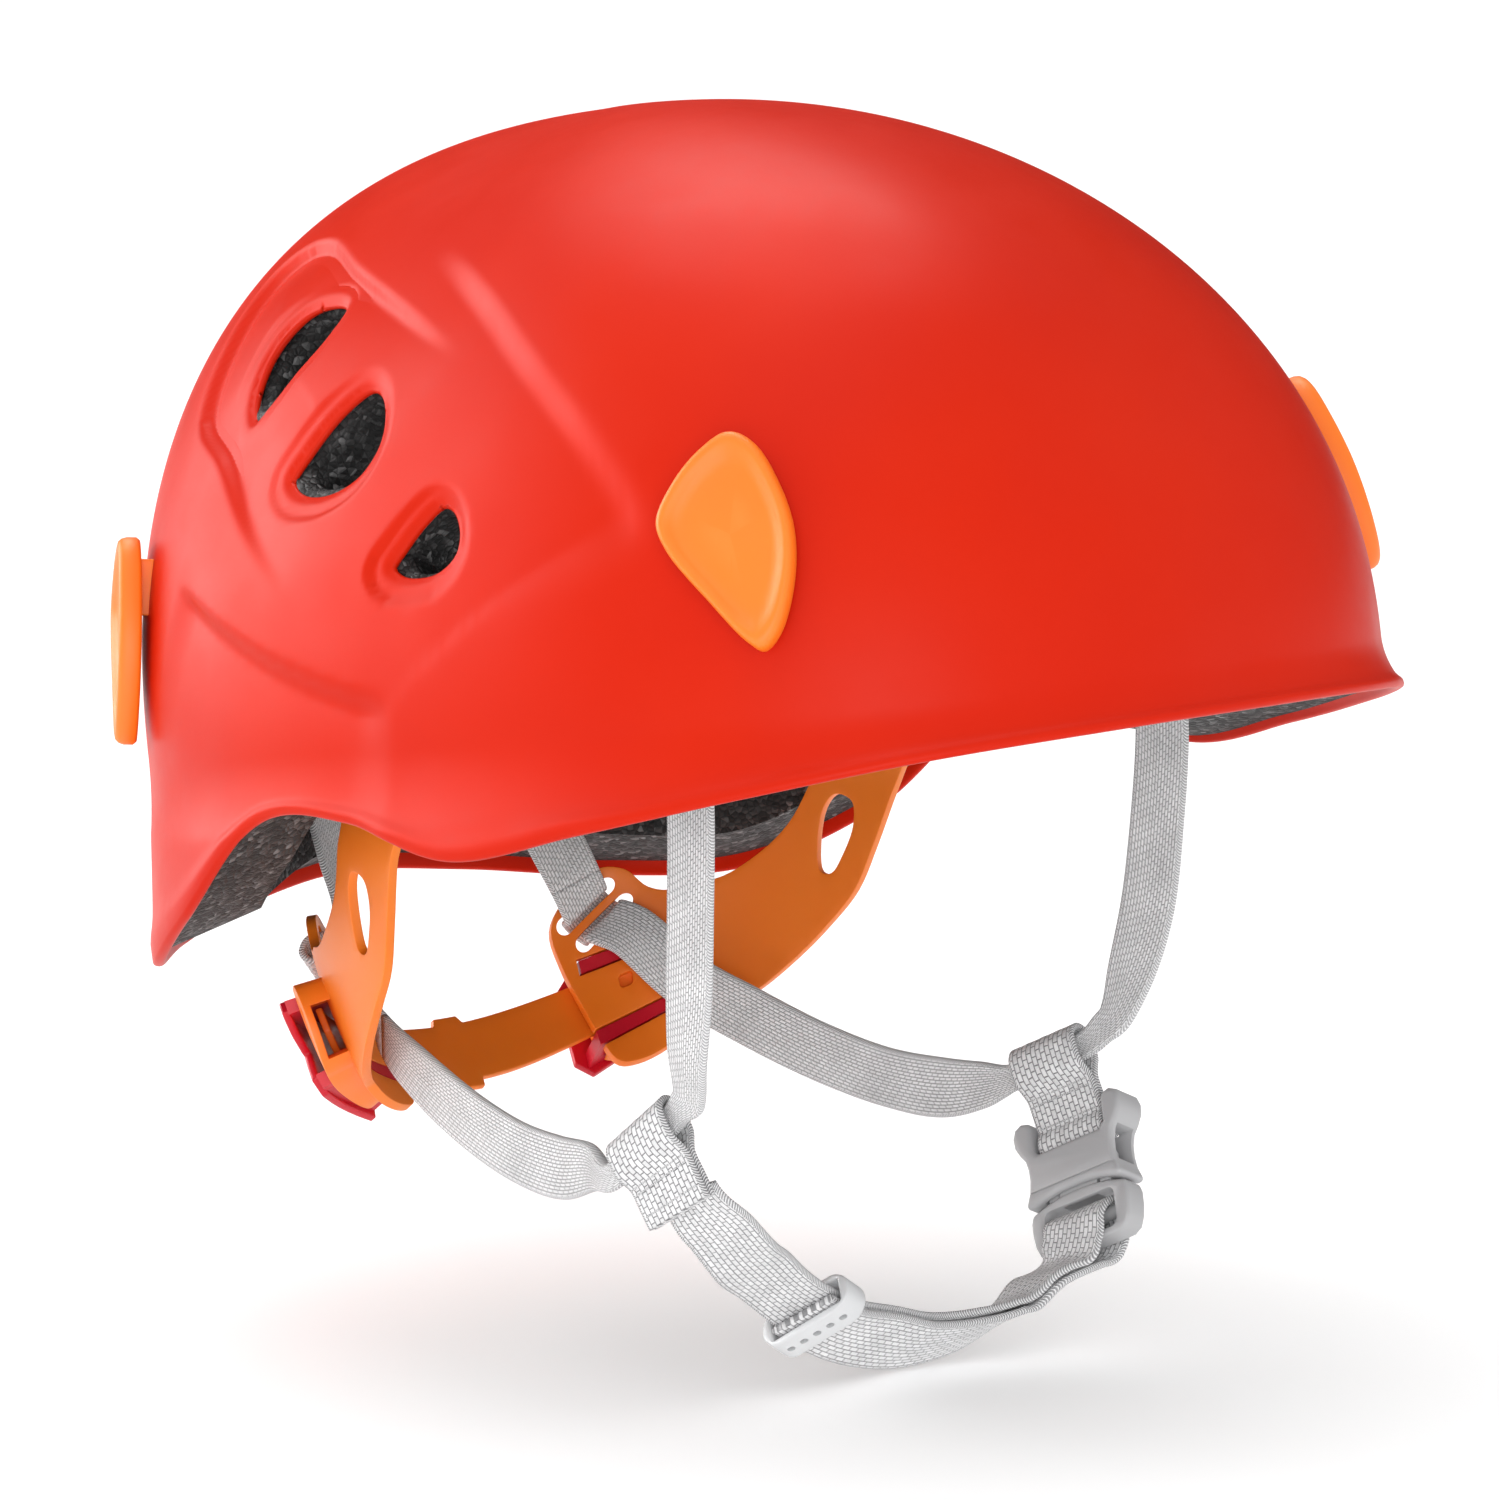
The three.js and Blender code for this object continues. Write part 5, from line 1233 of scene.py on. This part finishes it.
def keeper_piece():
    """A flat oval ring round the two layers, with five small oval holes through its outer wall."""
    i = int(KEEPER_AT)
    t = KEEPER_AT - i
    p0, p1 = (np.array(CHIN_ROUTE[k][0], float) for k in (i, i + 1))
    at = p0 + (p1 - p0) * t
    along = unit(p1 - p0)
    across = np.array(CHIN_ROUTE[i][1]) * (1 - t) + np.array(CHIN_ROUTE[i + 1][1]) * t
    across = unit(across - along * (across @ along))
    out = np.cross(along, across)
    tip = math.radians(8)
    along, out = along * math.cos(tip) + out * math.sin(tip), out * math.cos(tip) - along * math.sin(tip)
    ring = prism("ring", stadium((0, 0), 21, 8.6, 0, None, 10), -3, 3)
    boolean(ring, prism("hole", stadium((0, 0), 16.6, 5.4, 0, 0.6), -5, 5), "DIFFERENCE")
    bevel(ring, 0.5, 3, 40)
    for k in range(5):
        x = (k - 2) * 3.2
        tool = prism("dot", stadium((x, 0), 1.7, 1.3), 0, 9)
        tool.data.transform(Matrix(((1, 0, 0, 0), (0, 0, 1, 0), (0, -1, 0, 0), (0, 0, 0, 1))))
        boolean(ring, tool, "DIFFERENCE")
    verts = np.array([v.co for v in ring.data.vertices])
    faces = [list(p.vertices) for p in ring.data.polygons]
    bpy.data.objects.remove(ring)
    placed = at + verts[:, :1] * across + verts[:, 1:2] * out + verts[:, 2:] * along
    piece("keeper_oval", placed, faces, "keeper_plastic", "keeper", ["strap_keeper"], sharp=35)


# ---- Pads ------------------------------------------------------------
def brow_point(a, b, inset):
    side = 2 * a - 1
    low = 0 + 8 * side ** 4
    high = 30 - 6 * side ** 4
    return dome(math.radians(42 * side), low + (high - low) * b, inset)


PAD_INSET, PAD_THICK = 21.7, 5.5


def pads():
    """Sewn pads: crowned between their seams, thin where they are stitched."""
    columns, rows = 96, 26
    front, back = [], []
    for j in range(rows + 1):
        for i in range(columns + 1):
            a, b = i / columns, j / rows
            rim = min(a, 1 - a) * 30
            rim = min(rim, min(b, 1 - b) * 7)
            crown = min(1.0, rim) ** 0.5
            channel = 1 - 0.55 * math.exp(-(((a * 6) % 1 - 0.5) / 0.09) ** 2) if 0.05 < a < 0.95 else 1
            back.append(brow_point(a, b, PAD_INSET + 0.5 * (1 - crown)))
            front.append(brow_point(a, b, PAD_INSET + 0.9 + (PAD_THICK - 0.9) * crown * channel))
    faces = []
    for j in range(rows):
        for i in range(columns):
            k = j * (columns + 1) + i
            faces.append([k, k + 1, k + columns + 2, k + columns + 1])
    verts, faces = two_walled(np.array(back), np.array(front), faces, 0.4, 4)
    brow = piece("pad_brow", verts, faces, "pad_fabric", "helmet", ["brow_pad"])
    crown_pad()


def crown_pad():
    columns, rows = 96, 22
    tops, lows = [], []
    for j in range(rows + 1):
        for i in range(columns):
            angle = 2 * math.pi * i / columns
            share = max(j / rows, 0.004)
            x, y = 43.5 * share * math.cos(angle), 32.6 * share * math.sin(angle)
            edge = min(1.0, (1 - share) * 7) ** 0.5
            quilt = 1 - 0.5 * math.exp(-((share - 0.52) / 0.035) ** 2)
            for store, depth in ((tops, PAD_INSET + 0.4 * (1 - edge)),
                                 (lows, PAD_INSET + 0.9 + (PAD_THICK - 0.9) * edge * quilt)):
                theta = math.atan2(y, x)
                c = math.cos(theta)
                plan = PLAN_FRONT if c > 0 else PLAN_REAR
                half = (HALF_FRONT if c > 0 else HALF_REAR) - depth
                radius = ((abs(c) / half) ** plan + (abs(math.sin(theta)) / (HALF_WIDTH - depth)) ** plan) ** (
                    -1 / plan)
                power = (PROFILE[0] if c > 0 else PROFILE[2]) * c * c + PROFILE[1] * (1 - c * c)
                high = (DOME_HEIGHT - depth) * (1 - (math.hypot(x, y) / radius) ** power) ** (1 / power)
                store.append(dome(theta, high, depth))
    faces = []
    for j in range(rows):
        for i in range(columns):
            n = (i + 1) % columns
            faces.append([j * columns + i, (j + 1) * columns + i, (j + 1) * columns + n, j * columns + n])
    faces.append(list(range(columns))[::-1])
    verts, faces = two_walled(np.array(tops), np.array(lows), faces, 0.4, 4)
    crown = piece("pad_crown", verts, faces, "pad_fabric", "helmet", ["crown_pad"])


def kept_nodes():
    """CAD nodes that stay, with their materials."""
    for name in ("strap_anchor_front_left", "strap_anchor_front_right", "strap_anchor_rear_left",
                 "strap_anchor_rear_right", "arm_pivot_left", "arm_pivot_right"):
        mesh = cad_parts[name].data
        mesh.materials.clear()
        mesh.materials.append(MATERIALS["dark_plastic"])


# ---- Studio ----------------------------------------------------------
CAMERA_AT = (0.8515, -0.8805, 0.1676)
CAMERA_AIM = (0.00374, 0.00156, -0.0101)
LENS, SENSOR = 152.06, 36.0
WORLD_LIGHT = 0.94
# What gloss sees of the studio: direction, where the panel's glow starts and is full, and its strength.
SOFTBOXES = [((-0.36, 0.2, 0.91), 0.88, 0.99, 7.5), ((-0.87, -0.48, 0.08), 0.74, 0.98, 8.0)]


def studio():
    data = bpy.data.cameras.new("camera")
    data.lens, data.sensor_width = LENS, SENSOR
    data.clip_start, data.clip_end = 0.05, 60
    camera = bpy.data.objects.new("camera", data)
    SCENE.collection.objects.link(camera)
    camera.location = CAMERA_AT
    aim = Vector(CAMERA_AIM) - Vector(CAMERA_AT)
    camera.rotation_euler = aim.to_track_quat("-Z", "Y").to_euler()
    SCENE.camera = camera
    world = bpy.data.worlds.new("studio")
    SCENE.world = world
    world.use_nodes = True
    tree = world.node_tree
    path = add(tree, "ShaderNodeLightPath").outputs
    facing = add(tree, "ShaderNodeTexCoord").outputs["Generated"]
    glow = 0.04
    for way, start, end, strength in SOFTBOXES:
        toward = add(tree, "ShaderNodeVectorMath", {"operation": "DOT_PRODUCT"}, {0: facing, 1: way}).outputs["Value"]
        patch = add(tree, "ShaderNodeMapRange", {"interpolation_type": "SMOOTHSTEP"}, {
            "Value": toward, "From Min": start, "From Max": end, "To Min": 0.0, "To Max": strength}).outputs[0]
        glow = math_node(tree, "ADD", patch, glow)
    plain = math_node(tree, "ADD", math_node(tree, "MULTIPLY", path["Is Camera Ray"], 0.12), WORLD_LIGHT)
    glossy = path["Is Glossy Ray"]
    strength = math_node(tree, "ADD", math_node(tree, "MULTIPLY", glossy, glow),
                         math_node(tree, "MULTIPLY", math_node(tree, "SUBTRACT", 1.0, glossy), plain))
    back = tree.nodes["Background"]
    back.inputs["Color"].default_value = (1.0, 1.0, 1.0, 1)
    tree.links.new(strength, back.inputs["Strength"])
    SCENE.view_settings.view_transform = "Standard"
    floor_mesh = bpy.data.meshes.new("floor")
    floor_z = CAD_BOX[0][2] - 0.0005
    size = 30.0
    floor_mesh.from_pydata([(-size, -size, floor_z), (size, -size, floor_z), (size, size, floor_z),
                            (-size, size, floor_z)], [], [(0, 1, 2, 3)])
    floor = bpy.data.objects.new("floor", floor_mesh)
    SCENE.collection.objects.link(floor)
    made, tree, shader = start_material("floor_white")
    shader.inputs["Base Color"].default_value = (0.95, 0.95, 0.95, 1)
    shader.inputs["Emission Color"].default_value = (1, 1, 1, 1)
    shader.inputs["Emission Strength"].default_value = 0.22
    shader.inputs["Roughness"].default_value = 0.9
    shader.inputs["Specular IOR Level"].default_value = 0.1
    floor_mesh.materials.append(made)
    for name, at, size, power in (("key", (-1.2, -0.8, 0.7), 1.0, 5.0), ("top", (0.1, -0.5, 1.5), 1.0, 3.0),
                                  ("fill", (1.0, -1.0, 0.0), 0.8, 7.5)):
        light = bpy.data.lights.new(name, "AREA")
        light.size, light.energy = size, power
        lamp = bpy.data.objects.new(name, light)
        SCENE.collection.objects.link(lamp)
        lamp.location = at
        lamp.rotation_euler = (Vector((0, 0, 0)) - Vector(at)).to_track_quat("-Z", "Y").to_euler()


studio()
shell_pieces()
liner_pieces()
clip_pieces()
pads()
wing_pieces()
lock_pieces()
band_piece()
v_straps()
chin_strap()
yokes()
buckle_pieces()
keeper_piece()
kept_nodes()
